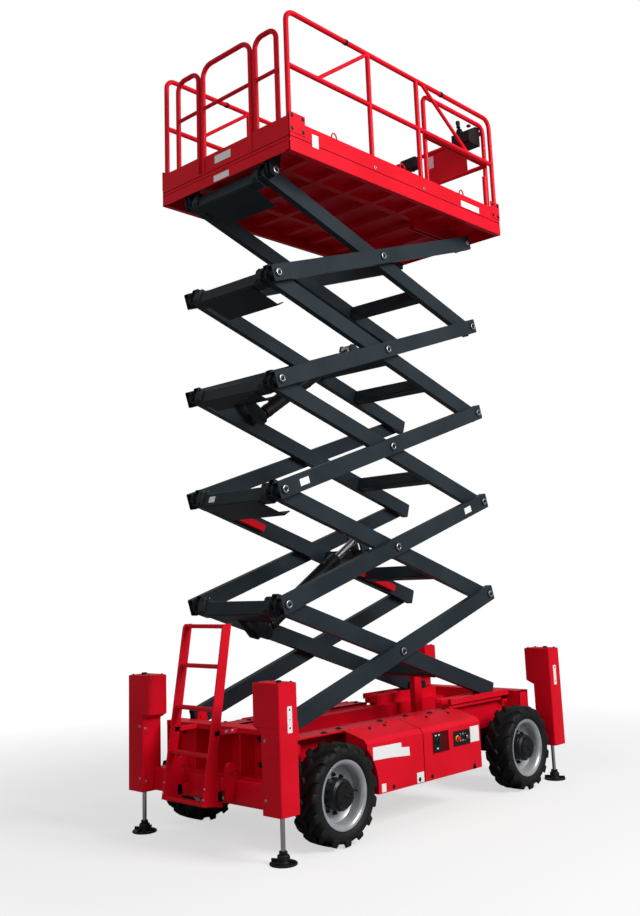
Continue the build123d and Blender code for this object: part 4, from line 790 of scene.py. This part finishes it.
stringer = [(stringer_edge(z) + inward, z + rise) for z, inward, rise in (
    (0.330, 0.0, 0.010), (1.570, 0.0, -0.020), (1.570, 0.020, 0.0), (1.570, 0.085, 0.0), (0.640, 0.085, 0.0),
    (0.330, 0.183, 0.060), (0.330, 0.183, -0.020))]
RUNG_ZS, RUNG_SET_BACK = (0.345, 0.660, 0.972, 1.268, 1.552), 0.0425
STRINGER_IN_Y, STRINGER_OUT_Y = 0.218, 0.230
ladder_shapes = [sideways(rounded(0.050, 0.028, 0.008, (stringer_edge(z) + RUNG_SET_BACK, z)), -0.229, 0.229)
                 for z in RUNG_ZS]
for side in (1, -1):
    in_y, out_y = side * STRINGER_IN_Y, side * STRINGER_OUT_Y
    ladder_shapes += [sideways(stringer, in_y, out_y),
                      block(stringer_edge(0.800) + 0.040, BEAM_REAR_X, in_y, out_y, 0.796, 0.828),
                      block(STRINGER_FOOT_X + 0.143, REAR_CARRIER[0], in_y, out_y, 0.350, 0.420)]
ladder_piece = mesh_piece("plate_ladder", red_coat, "chassis", closed=ladder_shapes)
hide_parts("ladder")
BRACKET_BOLTS = ((-1.640, 0.812), (-1.700, 0.812), (-1.705, 0.400), (-1.740, 0.372))    # x, z
mesh_piece("ladder_bolts", zinc, "chassis", closed=bolts(
    [(stringer_edge(z) + 0.001, side * 0.224, z) for side in (1, -1) for z in (0.385, 0.455)], (-1, 0, 0.17),
    flats=0.0105, tall=0.006) + [stack for side in (1, -1) for stack in bolts(
        [(x, side * STRINGER_OUT_Y, z) for x, z in BRACKET_BOLTS], (0, side, 0), flats=0.016, tall=0.008)])
studs = []
for rung_z in RUNG_ZS:
    middle_x = stringer_edge(rung_z) + RUNG_SET_BACK
    studs += [turned([(0.0050, 0.0), (0.0042, 0.0012), (0.0020, 0.0018)], 8,
                     (middle_x + x, y + shift, rung_z + 0.0140), (0, 0, 1))
              for x, shift in ((-0.012, 0.0), (0.0, 0.009), (0.012, 0.0)) for y in np.arange(-0.198, 0.200, 0.018)]
mesh_piece("rung_studs", red_coat, "chassis", closed=studs)

# ---------------------------------------------------------------- scissor arms
# Rectangular steel tubes joined by through pins, in satin anthracite powder coat. Each pin head
# is held by a bright ring and a screw, and the bearing housings are bolted to the arms.
ANTHRACITE_HEX = ("#222b31", "#283239")
PINS = 1.39475               # from an arm's middle to its end pins
REST_ANGLE = math.radians(17.839)
STAGE_RISE = 0.85454
CENTRE_X = -0.0123
FIRST_CENTRE_Z = 0.8414 + STAGE_RISE / 2.0
OUTER_FACE_Y = 0.537
HEAD_FACE_Y = 0.5453
anthracite_coat = coat("anthracite_powder_coat", ANTHRACITE_HEX, roughness=0.40, clear=0.03, specular=0.18)
for stage in range(1, 6):
    dress(anthracite_coat, f"outer_arm_{stage}", f"inner_arm_{stage}")


def on_arm(stage, slope, along, square=0.0, y=0.0):
    """A point of an arm: its middle, moved along it towards the front and square to it upwards."""
    cosine, sine = math.cos(REST_ANGLE), slope * math.sin(REST_ANGLE)
    return np.array([CENTRE_X + along * cosine - square * sine, y,
                     FIRST_CENTRE_Z + (stage - 1) * STAGE_RISE + along * sine + square * cosine])


def arm_direction(slope):
    """The way to the front along an arm, and the way square to it and up."""
    cosine, sine = math.cos(REST_ANGLE), slope * math.sin(REST_ANGLE)
    return np.array([cosine, 0.0, sine]), np.array([-sine, 0.0, cosine])


def arm_prism(outline, stage, y0, y1):
    """An outline of (along the arm, square to it) on an inner arm, carried along Y."""
    along, square = arm_direction(-1)
    return prism(outline, along, square, -y0, -y1, on_arm(stage, -1, 0.0))


# bearing housings on the ends of each rear cross tube, and the folded cradle plate beneath it
HOUSING_IN_Y, HOUSING_OUT_Y = 0.343, 0.4048
for stage in range(1, 6):
    reach = 0.205 if stage in (1, 3) else 0.360
    start, edge = -PINS - 0.040, -0.091
    cradle = ((start, edge + 0.001), (start, edge - 0.008), (start + reach - 0.050, edge - 0.008),
              (start + reach, edge + 0.045), (start + reach - 0.008, edge + 0.048), (start + reach - 0.055, edge))
    mesh_piece(f"bearing_housings_{stage}", anthracite_coat, f"inner_arm_{stage}", closed=[
        arm_prism(rounded(0.138, 0.138, 0.034, (-PINS, -0.018)), stage, side * HOUSING_IN_Y, side * HOUSING_OUT_Y)
        for side in (1, -1)] + [arm_prism(cradle, stage, -0.300, 0.300)])

# T-shoes of the sliding ends: a head on the pin, a neck and a foot in the slot
TOP_PIN_Z, SLIDE_PIN_X = 5.1141, 1.3154
for level, body_z, down in (("lower", PIN_Z, 1), ("upper", TOP_PIN_Z, -1)):
    shoe_shapes = []
    for side in (1, -1):
        foot = mirrored([(0.015, 0.034), (0.015, 0.0437), (0.025, 0.0437), (0.025, 0.0711)])
        shoe_shapes += [sideways(rounded(0.200, 0.070, 0.016, (SLIDE_PIN_X, body_z)), side * 0.341, side * 0.4047),
                        lengthways([(side * TRACK_Y + across, body_z - down * drop) for across, drop in foot],
                                   SLIDE_PIN_X - 0.084, SLIDE_PIN_X + 0.084)]
    shoes = mesh_piece(f"t_shoes_{level}", black_plastic, f"slide_blocks_{level}", closed=shoe_shapes)
    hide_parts(f"slide_blocks_{level}")

for stage in range(1, 6):
    rings, heads, housing_bolts, nipples = [], [], [], []
    along, square = arm_direction(-1)
    for side in (1, -1):
        outward = (0.0, side, 0.0)
        for s in (-PINS, 0.0, PINS)[:2 if stage == 1 else 3]:
            place = on_arm(stage, -1, s, y=side * HEAD_FACE_Y)
            rings.append(turned([(0.030, 0.0), (0.030, 0.005), (0.0275, 0.0065), (0.0225, 0.0065), (0.0215, 0.005)],
                                36, place, outward))
            heads.append(turned([(0.0175, 0.0050), (0.0175, 0.0100), (0.0150, 0.0120)], 6, place, outward))
        # four bolts on each bearing housing's inner face, and its grease nipple
        for s, n in ((-0.048, -0.066), (0.048, -0.066), (-0.048, 0.030), (0.048, 0.030)):
            housing_bolts += bolts([on_arm(stage, -1, -PINS + s, n, side * HOUSING_IN_Y)], (0, -side, 0),
                                   flats=0.016, tall=0.008)
        housing_bolts += bolts([on_arm(stage, -1, -PINS - 0.069, n, side * 0.374) for n in (-0.062, 0.026)], -along,
                               flats=0.014, tall=0.007)
        nipples.append(turned([(0.006, 0.0), (0.006, 0.004), (0.0035, 0.005), (0.0030, 0.012), (0.0045, 0.014),
                               (0.002, 0.018)], 12, on_arm(stage, -1, -PINS, 0.051, side * 0.372), square))
    mesh_piece(f"pin_rings_{stage}", zinc, f"inner_arm_{stage}", closed=rings + nipples)
    mesh_piece(f"pin_screws_{stage}", black_paint, f"inner_arm_{stage}", closed=heads + housing_bolts)

# the heads of the sliding pin on the highest outer arms
mesh_piece("slide_pin_rings_upper", zinc, "outer_arm_5", closed=[
    turned([(0.0235, -0.001), (0.0235, 0.003), (0.021, 0.004), (0.012, 0.004), (0.011, 0.003)], 32,
           on_arm(5, 1, PINS, y=side * HEAD_FACE_Y), (0, side, 0)) for side in (1, -1)])


# blank labels on two outer arms and on a cross tube
def label(centre, across, up, wide, tall):
    """A blank vinyl label: a thin plate with rounded corners, laid out as plate lays out its own."""
    return plate(centre, across, up, wide, tall, LABEL_T, corner=0.002, bevel=0.0004)


forward, square_up = arm_direction(1)
for stage, s in ((3, -1.164), (2, 1.112)):
    mesh_piece(f"arm_label_{stage}", white_vinyl, f"outer_arm_{stage}", closed=[
        label(on_arm(stage, 1, s, 0.0, -OUTER_FACE_Y), forward, square_up, 0.108, 0.056),
        label(on_arm(stage, 1, s, 0.0, OUTER_FACE_Y), -forward, square_up, 0.108, 0.056)])
along, square = arm_direction(-1)
mesh_piece("tube_label_2", white_vinyl, "inner_arm_2", closed=[
    label(on_arm(2, -1, -PINS - 0.050, -0.036, 0.235), (0, -1, 0), square, 0.070, 0.050)])

# maintenance props: red flat bars that lie inside the second frame, two each side
PROP_Y, PROP_LENGTH = 0.360, 0.560
for hand, side in HANDS:
    mesh_piece(f"maintenance_props_{hand}", red_coat, "inner_arm_2", closed=[
        plate(on_arm(2, -1, s, n, side * PROP_Y), along * -side, square, PROP_LENGTH, 0.060, 0.040,
              corner=0.010, bevel=0.003) for s, n in ((-0.990, -0.020), (0.830, -0.012))])

# ---------------------------------------------------------------- lift cylinders
# Honed barrels in black paint with ground-chrome rods, a gland nut at each barrel's mouth and
# port blocks at both its ends.
for level, stage in (("lower", 1), ("upper", 3)):
    dress(black_paint, f"{level}_cylinder_barrel")
    dress(chrome, f"{level}_cylinder_rod")
    foot = on_arm(stage, -1, -1.100, -0.130)
    head = on_arm(stage + 1, -1, 0.056, 0.126)
    line = (head - foot) / np.linalg.norm(head - foot)
    above = np.cross(line, [0.0, -1.0, 0.0])
    above = above if above[2] > 0 else -above
    cross = np.cross(above, line)
    gland = turned([(0.0555, 0.955), (0.0590, 0.958), (0.0590, 1.046), (0.0560, 1.0505), (0.036, 1.0515)], 40,
                   foot, line)
    wiper = turned([(0.0385, 1.050), (0.0385, 1.056), (0.0350, 1.058)], 32, foot, line)
    bands = [turned([(0.0552, d), (0.0575, d + 0.002), (0.0575, d + 0.018), (0.0552, d + 0.020)], 36, foot, line)
             for d in (0.135, 0.430, 0.700)]
    ports = [plate(foot + line * d + above * 0.050, cross, line, 0.050, 0.060, 0.022, corner=0.006, bevel=0.003)
             for d in (0.180, 0.900)]
    tube = turned([(0.008, 0.200), (0.008, 0.890)], 14, foot + above * 0.064, line)
    mesh_piece(f"{level}_cylinder_fittings", black_paint, f"{level}_barrel",
               closed=[gland, wiper, tube] + bands + ports)

# ---------------------------------------------------------------- platform
# A ribbed steel deck in folded skirts, with welded tube guards, and a roll-out front deck. Both
# floors are tread plate, and the deck hangs from the top frame by plates in the arms' finish.
FLOOR_Z = 5.3001
ROLL_OUT_FLOOR_Z = FLOOR_Z + 0.0083
SKIRT_Y = 0.7955
CORNER_Y = 0.8005
TREAD_PITCH = 0.042


def tread(x0, x1, y0, y1, z):
    """Tread plate: lozenges on a square grid, each turned a quarter turn from its neighbours, rising
    1.5 mm from a base diamond to a smaller top one."""
    columns, rows = int((x1 - x0) / TREAD_PITCH), int((y1 - y0) / TREAD_PITCH)
    long, wide = TREAD_PITCH * 0.40, TREAD_PITCH * 0.14
    stacks = []
    for i in range(columns):
        for j in range(rows):
            turn = math.pi / 4.0 + (math.pi / 2.0 if (i + j) % 2 else 0.0)
            u = np.array([math.cos(turn), math.sin(turn), 0.0])
            v = np.array([-math.sin(turn), math.cos(turn), 0.0])
            middle = np.array([x0 + (i + 0.5) * TREAD_PITCH, y0 + (j + 0.5) * TREAD_PITCH, z])
            ring = np.stack([u * long, v * wide, -u * long, -v * wide])
            stacks.append(middle + np.stack([ring, ring * 0.72 + np.array([0, 0, 0.0015])]))
    return stacks


DECK_REAR_X, DECK_FRONT_X = -1.431, 1.537
SKIRT_Z, SKIRT_TOP_Z, FLOOR_UNDER, RIB_Z = 5.1761, 5.4341, 5.2941, 5.2361
DECK_T, GATE_OPENING, GATE_CORNER = 0.006, (0.300, -0.378), 0.012
TOE_LOW, TOE_TOP, SILL_TOP = 5.2701, 5.4701, 5.3121
deck = [block(DECK_REAR_X, DECK_FRONT_X, -SKIRT_Y, SKIRT_Y, FLOOR_UNDER, FLOOR_Z)]
for side in (1, -1):
    # side plates folded in below, corner plates, runners and tracks
    deck.append(lengthways([(side * y, z) for y, z in (
        (SKIRT_Y, SKIRT_TOP_Z), (SKIRT_Y, SKIRT_Z), (SKIRT_Y - 0.048, SKIRT_Z), (SKIRT_Y - 0.048, SKIRT_Z + DECK_T),
        (SKIRT_Y - DECK_T, SKIRT_Z + DECK_T), (SKIRT_Y - DECK_T, SKIRT_TOP_Z))], DECK_REAR_X, DECK_FRONT_X))
    deck += [block(x0, x1, side * (SKIRT_Y - DECK_T), side * CORNER_Y, 5.3301, 5.5001)
             for x0, x1 in ((DECK_REAR_X, -1.253), (1.397, DECK_FRONT_X))]
    in_y, out_y = side * (TRACK_Y - TRACK_HALF), side * (TRACK_Y + TRACK_HALF)
    deck += [block(DECK_REAR_X + DECK_T, TRACK_START, in_y, out_y, RIB_Z + 0.003, FLOOR_UNDER),
             block(TRACK_START, DECK_FRONT_X - DECK_T, in_y, out_y, TOP_PIN_Z + 0.0784, FLOOR_UNDER),
             t_track(side, TOP_PIN_Z, -1, TRACK_START, DECK_FRONT_X - 0.060)]
for x in (DECK_REAR_X, DECK_FRONT_X - DECK_T):
    deck.append(block(x, x + DECK_T, -SKIRT_Y, SKIRT_Y, SKIRT_Z, SKIRT_Z + 0.079))
for x in (DECK_REAR_X + 0.005, DECK_FRONT_X - 0.012):
    deck.append(block(x, x + 0.007, -SKIRT_Y + 0.001, SKIRT_Y - 0.001, SKIRT_Z + 0.059, FLOOR_Z - 0.001))
open_y0, open_y1 = GATE_OPENING
deck.append(lengthways((
    (SKIRT_Y, TOE_LOW), (SKIRT_Y, TOE_TOP), (open_y0 + GATE_CORNER, TOE_TOP), (open_y0, TOE_TOP - GATE_CORNER),
    (open_y0, SILL_TOP), (open_y1, SILL_TOP), (open_y1, TOE_TOP - GATE_CORNER), (open_y1 - GATE_CORNER, TOE_TOP),
    (-SKIRT_Y, TOE_TOP), (-SKIRT_Y, TOE_LOW)), DECK_REAR_X, DECK_REAR_X + DECK_T))
for number in range(1, 8):
    x = DECK_REAR_X + number * (DECK_FRONT_X - DECK_REAR_X) / 8.0
    deck.append(sideways([(x + across, z) for across, z in (
        (-0.046, FLOOR_UNDER + 0.001), (-0.030, RIB_Z), (0.030, RIB_Z), (0.046, FLOOR_UNDER + 0.001),
        (0.040, FLOOR_UNDER + 0.001), (0.024, RIB_Z + 0.006), (-0.024, RIB_Z + 0.006), (-0.040, FLOOR_UNDER + 0.001))],
        -SKIRT_Y + 0.001, SKIRT_Y - 0.001))
deck_piece = mesh_piece("folded_deck", red_coat, "platform", closed=deck)
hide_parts("platform_deck")

# hangers on the top pins: two plates each side that straddle the pin, with round lower ends
HANGER_HALF, HANGER_R, HANGER_IN_Y, HANGER_OUT_Y = 0.078, 0.046, 0.4773, 0.5367
half_turn = np.linspace(math.pi, 2.0 * math.pi, 13)
low_end = np.stack([PIN_X + HANGER_R * np.cos(half_turn), TOP_PIN_Z + HANGER_R * np.sin(half_turn)], axis=-1)
ear = np.concatenate([[(PIN_X - HANGER_HALF, FLOOR_UNDER)], low_end, [(PIN_X + HANGER_HALF, FLOOR_UNDER)]])
mesh_piece("deck_hangers", anthracite_coat, "platform", closed=[
    sideways(ear, side * y, side * (y + 0.014)) for side in (1, -1) for y in (HANGER_IN_Y, 0.5227)] + [
    block(PIN_X - HANGER_HALF, PIN_X + HANGER_HALF, side * HANGER_IN_Y, side * HANGER_OUT_Y,
          FLOOR_UNDER - 0.010, FLOOR_UNDER) for side in (1, -1)])


def bent(points, bend, radius, sides=16):
    """Round tube bent at right-angled corners. Each corner becomes a quarter circle about
    corner + bend * (out - in), and the tube is a circle carried along the run."""
    points = np.array(points, float)
    path = [points[0]]
    for before, corner, after in zip(points[:-2], points[1:-1], points[2:]):
        into = (corner - before) / np.linalg.norm(corner - before)
        out = (after - corner) / np.linalg.norm(after - corner)
        turn = np.linspace(0.0, math.pi / 2.0, 9)[:, None]
        path += list(corner + bend * (out - into) - bend * out * np.cos(turn) + bend * into * np.sin(turn))
    path = np.array(path + [points[-1]])
    ahead = np.gradient(path, axis=0)
    ahead /= np.linalg.norm(ahead, axis=1, keepdims=True)
    normal = np.cross(points[1] - points[0], points[2] - points[1])
    normal /= np.linalg.norm(normal)
    angles = np.arange(sides) * 2.0 * math.pi / sides
    return path[:, None, :] + radius * (np.cos(angles)[None, :, None] * normal
                                        + np.sin(angles)[None, :, None] * np.cross(ahead, normal)[:, None, :])


# side guards: a bent top rail on its posts, a middle rail, two posts, two braces and a stub post
RAIL_Y, RAIL_R, BRACE_R = 0.7655, 0.022, 0.017
REAR_POST_X, FRONT_POST_X = -1.401, 1.507
MID_RAIL_Z, TOP_RAIL_Z = 5.9201, 6.3991
for hand, side in HANDS:
    y = side * RAIL_Y
    tubes = [bent(((REAR_POST_X, y, FLOOR_Z), (REAR_POST_X, y, TOP_RAIL_Z), (FRONT_POST_X, y, TOP_RAIL_Z),
                   (FRONT_POST_X, y, FLOOR_Z)), 0.090, RAIL_R),
             rod((REAR_POST_X, y, MID_RAIL_Z), (FRONT_POST_X, y, MID_RAIL_Z), RAIL_R),
             rod((1.367, y, FLOOR_Z), (1.367, y, FLOOR_Z + 0.454), 0.024)]
    tubes += [rod((x, y, FLOOR_Z), (x, y, TOP_RAIL_Z), RAIL_R) for x in (-0.383, 0.307)]
    tubes += [rod((a, y, TOP_RAIL_Z), (b, y, MID_RAIL_Z), BRACE_R) for a, b in ((-0.383, -1.053), (0.397, 1.097))]
    rail = mesh_piece(f"side_guard_{hand}", red_coat, "platform", closed=tubes)
    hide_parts(f"guard_rail_{hand}")

# rear guard: a fixed loop each side of the entry, and the gate between them with its toe panel
LOOP_TOP_Z = TOP_RAIL_Z - 0.110
tubes = []
for y0, y1 in ((0.600, 0.320), (-0.400, -0.650)):
    tubes += [bent(((REAR_POST_X, y0, FLOOR_Z), (REAR_POST_X, y0, LOOP_TOP_Z), (REAR_POST_X, y1, LOOP_TOP_Z),
                    (REAR_POST_X, y1, FLOOR_Z)), 0.090, RAIL_R),
              rod((REAR_POST_X, y0, MID_RAIL_Z), (REAR_POST_X, y1, MID_RAIL_Z), BRACE_R)]
loops_piece = mesh_piece("rear_guard_loops", red_coat, "platform", closed=tubes)
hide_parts("guard_rail_rear")
GATE_Y0, GATE_Y1, GATE_LOW, HINGE_X, HINGE_Y = 0.260, -0.340, 5.3171, -1.396, 0.294
gate_shapes = [bent(((REAR_POST_X, GATE_Y0, GATE_LOW), (REAR_POST_X, GATE_Y0, LOOP_TOP_Z + 0.020),
                     (REAR_POST_X, GATE_Y1, LOOP_TOP_Z + 0.020), (REAR_POST_X, GATE_Y1, GATE_LOW)), 0.110, RAIL_R),
               rod((REAR_POST_X, GATE_Y0, MID_RAIL_Z), (REAR_POST_X, GATE_Y1, MID_RAIL_Z), BRACE_R),
               block(REAR_POST_X - 0.004, REAR_POST_X + 0.004, GATE_Y1, GATE_Y0, GATE_LOW, GATE_LOW + 0.153)]
for z in (5.480, 6.040):
    gate_shapes += [rod((HINGE_X, HINGE_Y, z), (HINGE_X, HINGE_Y, z + 0.090), 0.0045),
                    block(REAR_POST_X, HINGE_X + 0.003, GATE_Y0, HINGE_Y, z, z + 0.090)]
gate_piece = mesh_piece("loop_gate", red_coat, "gate", closed=gate_shapes)
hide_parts("entry_gate")

# roll-out deck: a folded tray with its own guard nested inside the side rails
EXT_REAR_X, EXT_FRONT_X, EXT_Y, EXT_RAIL_Y = 0.447, 1.505, 0.7275, 0.7055
EXT_POST_X, EXT_END_X, EXT_RAIL_Z, EXT_LOW = 0.487, 1.483, 6.3391, 5.3004
front_top_z = EXT_RAIL_Z - 0.060
tray_edge = [(EXT_Y, EXT_LOW), (EXT_Y, EXT_LOW + 0.120), (EXT_Y - DECK_T, EXT_LOW + 0.120),
             (EXT_Y - DECK_T, EXT_LOW + 0.008)]
roll_out = [lengthways(mirrored(tray_edge), EXT_REAR_X, EXT_FRONT_X),
            block(EXT_FRONT_X - 0.008, EXT_FRONT_X, -EXT_Y, EXT_Y, EXT_LOW, EXT_LOW + 0.150),
            block(EXT_END_X - 0.002, EXT_END_X + 0.002, -0.500, 0.020, MID_RAIL_Z, front_top_z)]
roll_out += [rod((EXT_END_X, -EXT_RAIL_Y, z), (EXT_END_X, EXT_RAIL_Y, z), RAIL_R) for z in (front_top_z, MID_RAIL_Z)]
for side in (1, -1):
    y = side * EXT_RAIL_Y
    roll_out += [bent(((EXT_POST_X, y, EXT_LOW), (EXT_POST_X, y, EXT_RAIL_Z), (EXT_END_X, y, EXT_RAIL_Z),
                       (EXT_END_X, y, EXT_LOW)), 0.080, RAIL_R),
                 rod((EXT_POST_X, y, MID_RAIL_Z), (EXT_END_X, y, MID_RAIL_Z), BRACE_R)]
roll_piece = mesh_piece("roll_out_tray_and_guard", red_coat, "roll_out_deck", closed=roll_out)
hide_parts("extension_deck")

# control box on the roll-out deck's front corner, its panel sloped towards the deck
BOX_FRONT_X, BOX_BACK_X, BOX_Z0, BOX_Z1 = 1.4607, 1.2707, 6.1341, 6.3291
box_piece = mesh_piece("control_box", black_plastic, "roll_out_deck", closed=[
    sideways(((BOX_FRONT_X, BOX_Z0), (BOX_FRONT_X, BOX_Z1), (BOX_FRONT_X - 0.060, BOX_Z1), (BOX_BACK_X, BOX_Z1 - 0.070),
              (BOX_BACK_X, BOX_Z0 + 0.020), (BOX_BACK_X + 0.020, BOX_Z0)), -0.680, -0.470),
    rod((1.3307, -0.530, BOX_Z1 - 0.060), (1.3187, -0.530, BOX_Z1 + 0.045), 0.008)])
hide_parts("platform_controls")

mesh_piece("tread_plate_main", red_coat, "platform", closed=tread(-1.345, 0.440, -0.735, 0.735, FLOOR_Z))
mesh_piece("tread_plate_roll_out", red_coat, "roll_out_deck",
           closed=tread(0.460, 1.480, -0.665, 0.665, ROLL_OUT_FLOOR_Z))

# corner plates are bolted on; the guards' feet stand in welded sockets
mesh_piece("corner_plate_bolts", black_paint, "platform", closed=[
    stack for side in (1, -1) for stack in bolts(
        [(x, side * CORNER_Y, z) for x in (-1.405, -1.280, 1.423, 1.511) for z in (5.360, 5.470)],
        (0, side, 0), flats=0.018, tall=0.009)])
sockets = [turned([(0.031, 0.0), (0.031, 0.055), (0.0275, 0.059), (0.0222, 0.060)], 28,
                  (x, side * RAIL_Y, FLOOR_Z), (0, 0, 1))
           for side in (1, -1) for x in (-1.401, -0.383, 0.307)]
mesh_piece("guard_sockets", red_coat, "platform", closed=sockets)
mesh_piece("guard_clamp_bolts", zinc, "platform", closed=[
    stack for side in (1, -1) for stack in bolts([(x, side * 0.7965, FLOOR_Z + 0.030) for x in (-0.383, 0.307)],
                                                 (0, side, 0), flats=0.016, tall=0.008)])

# blank labels: each side skirt has one near the front and one by the rear corner, the rear plate one
mesh_piece("skirt_labels", white_vinyl, "platform", closed=[
    shape_plate(outline, side, SKIRT_Y, LABEL_T) for outline in (
        oblong(0.880, 1.180, 5.310, 5.370), oblong(-1.172, -1.098, 5.275, 5.385)) for side in (1, -1)] + [
    label((DECK_REAR_X, 0.012, 5.215), (0, -1, 0), (0, 0, 1), 0.190, 0.055)])
mesh_piece("gate_label", white_vinyl, "gate", closed=[
    label((-1.405, 0.020, 5.400), (0, -1, 0), (0, 0, 1), 0.200, 0.070)])
mesh_piece("front_panel_label", white_vinyl, "roll_out_deck", closed=[
    label((EXT_END_X - 0.002, -0.045, 6.175), (0, -1, 0), (0, 0, 1), 0.080, 0.130)])

# black outlet box on the front guard's inner side, with its lid and cable glands
mesh_piece("outlet_box", black_plastic, "roll_out_deck", closed=[
    plate((1.459, 0.180, 6.205), (0, -1, 0), (0, 0, 1), 0.200, 0.130, 0.075, corner=0.010, bevel=0.004),
    plate((1.384, 0.180, 6.205), (0, -1, 0), (0, 0, 1), 0.176, 0.106, 0.008, corner=0.010, bevel=0.003)] + [
    turned([(0.013, 0.0), (0.013, 0.010), (0.010, 0.012), (0.010, 0.024)], 6, (1.420, 0.180 + y, 6.140), (0, 0, -1))
    for y in (-0.050, 0.050)])

# black clips that hold the roll-out guard's run under the side rails, and the gate's latch
mesh_piece("rail_clips", black_plastic, "platform", closed=[
    turned([(0.0235, 0.0), (0.0255, 0.002), (0.0255, 0.032), (0.0235, 0.034)], 28,
           (x, side * RAIL_Y, TOP_RAIL_Z), (1, 0, 0))
    for side in (1, -1) for x in (-0.690, 0.680)])
mesh_piece("gate_latch", black_paint, "gate", closed=[
    plate((-1.379, -0.340, 5.985), (0, 1, 0), (0, 0, 1), 0.030, 0.070, 0.010, corner=0.004),
    turned([(0.008, 0.0), (0.008, 0.030), (0.016, 0.034), (0.016, 0.046), (0.012, 0.050)], 20,
           (-1.369, -0.340, 6.000), (1, 0, 0))])

# anchor loops for a harness, bent from round bar and welded to the skirts' top edge
turns = np.linspace(0.0, math.pi, 15)


def hoop(centre_x, y, z, reach, rise, thick):
    """Round bar bent to a half ring: a small circle of the bar's radius carried along the arc
    (reach * cos t, rise * sin t), in the frame of its tangent and the Y axis."""
    path = np.stack([centre_x + reach * np.cos(turns), np.full(15, y), z + rise * np.sin(turns)], axis=-1)
    ahead = np.gradient(path, axis=0)
    ahead /= np.linalg.norm(ahead, axis=1, keepdims=True)
    normal = np.cross(ahead, [0.0, 1.0, 0.0])
    angles = np.arange(10) * 2.0 * math.pi / 10
    return (path[:, None, :] + thick * (np.cos(angles)[None, :, None] * np.array([0.0, 1.0, 0.0])
                                        - np.sin(angles)[None, :, None] * normal[:, None, :]))


mesh_piece("anchor_loops", red_coat, "platform", closed=[
    hoop(x, side * 0.7920, 5.432, 0.032, 0.045, 0.006) for side in (1, -1) for x in (-0.900, 0.000, 0.900)])

# control box furniture: joystick boot and grip, and the stop button
CONTROL_Y = -0.530
mesh_piece("joystick_boot", black_plastic, "roll_out_deck", closed=[
    turned([(0.040, -0.062), (0.041, -0.052), (0.033, -0.044), (0.035, -0.036), (0.027, -0.028), (0.028, -0.020),
            (0.018, -0.010), (0.012, 0.0)], 28, (1.329, CONTROL_Y, 6.345), (-0.11, 0, 1)),
    turned([(0.0175, 0.0), (0.0215, 0.006), (0.0185, 0.022), (0.0205, 0.040), (0.0225, 0.058), (0.0180, 0.070),
            (0.010, 0.074)], 28, (1.3205, CONTROL_Y, 6.343), (-0.105, 0, 1))])
mesh_piece("platform_stop_button", stop_plastic, "roll_out_deck", closed=[
    turned([(0.0205, 0.0), (0.0225, 0.003), (0.0225, 0.012), (0.0190, 0.017), (0.010, 0.0185)], 32,
           (1.3546, -0.630, 6.3325), (-0.11, 0, 1))])
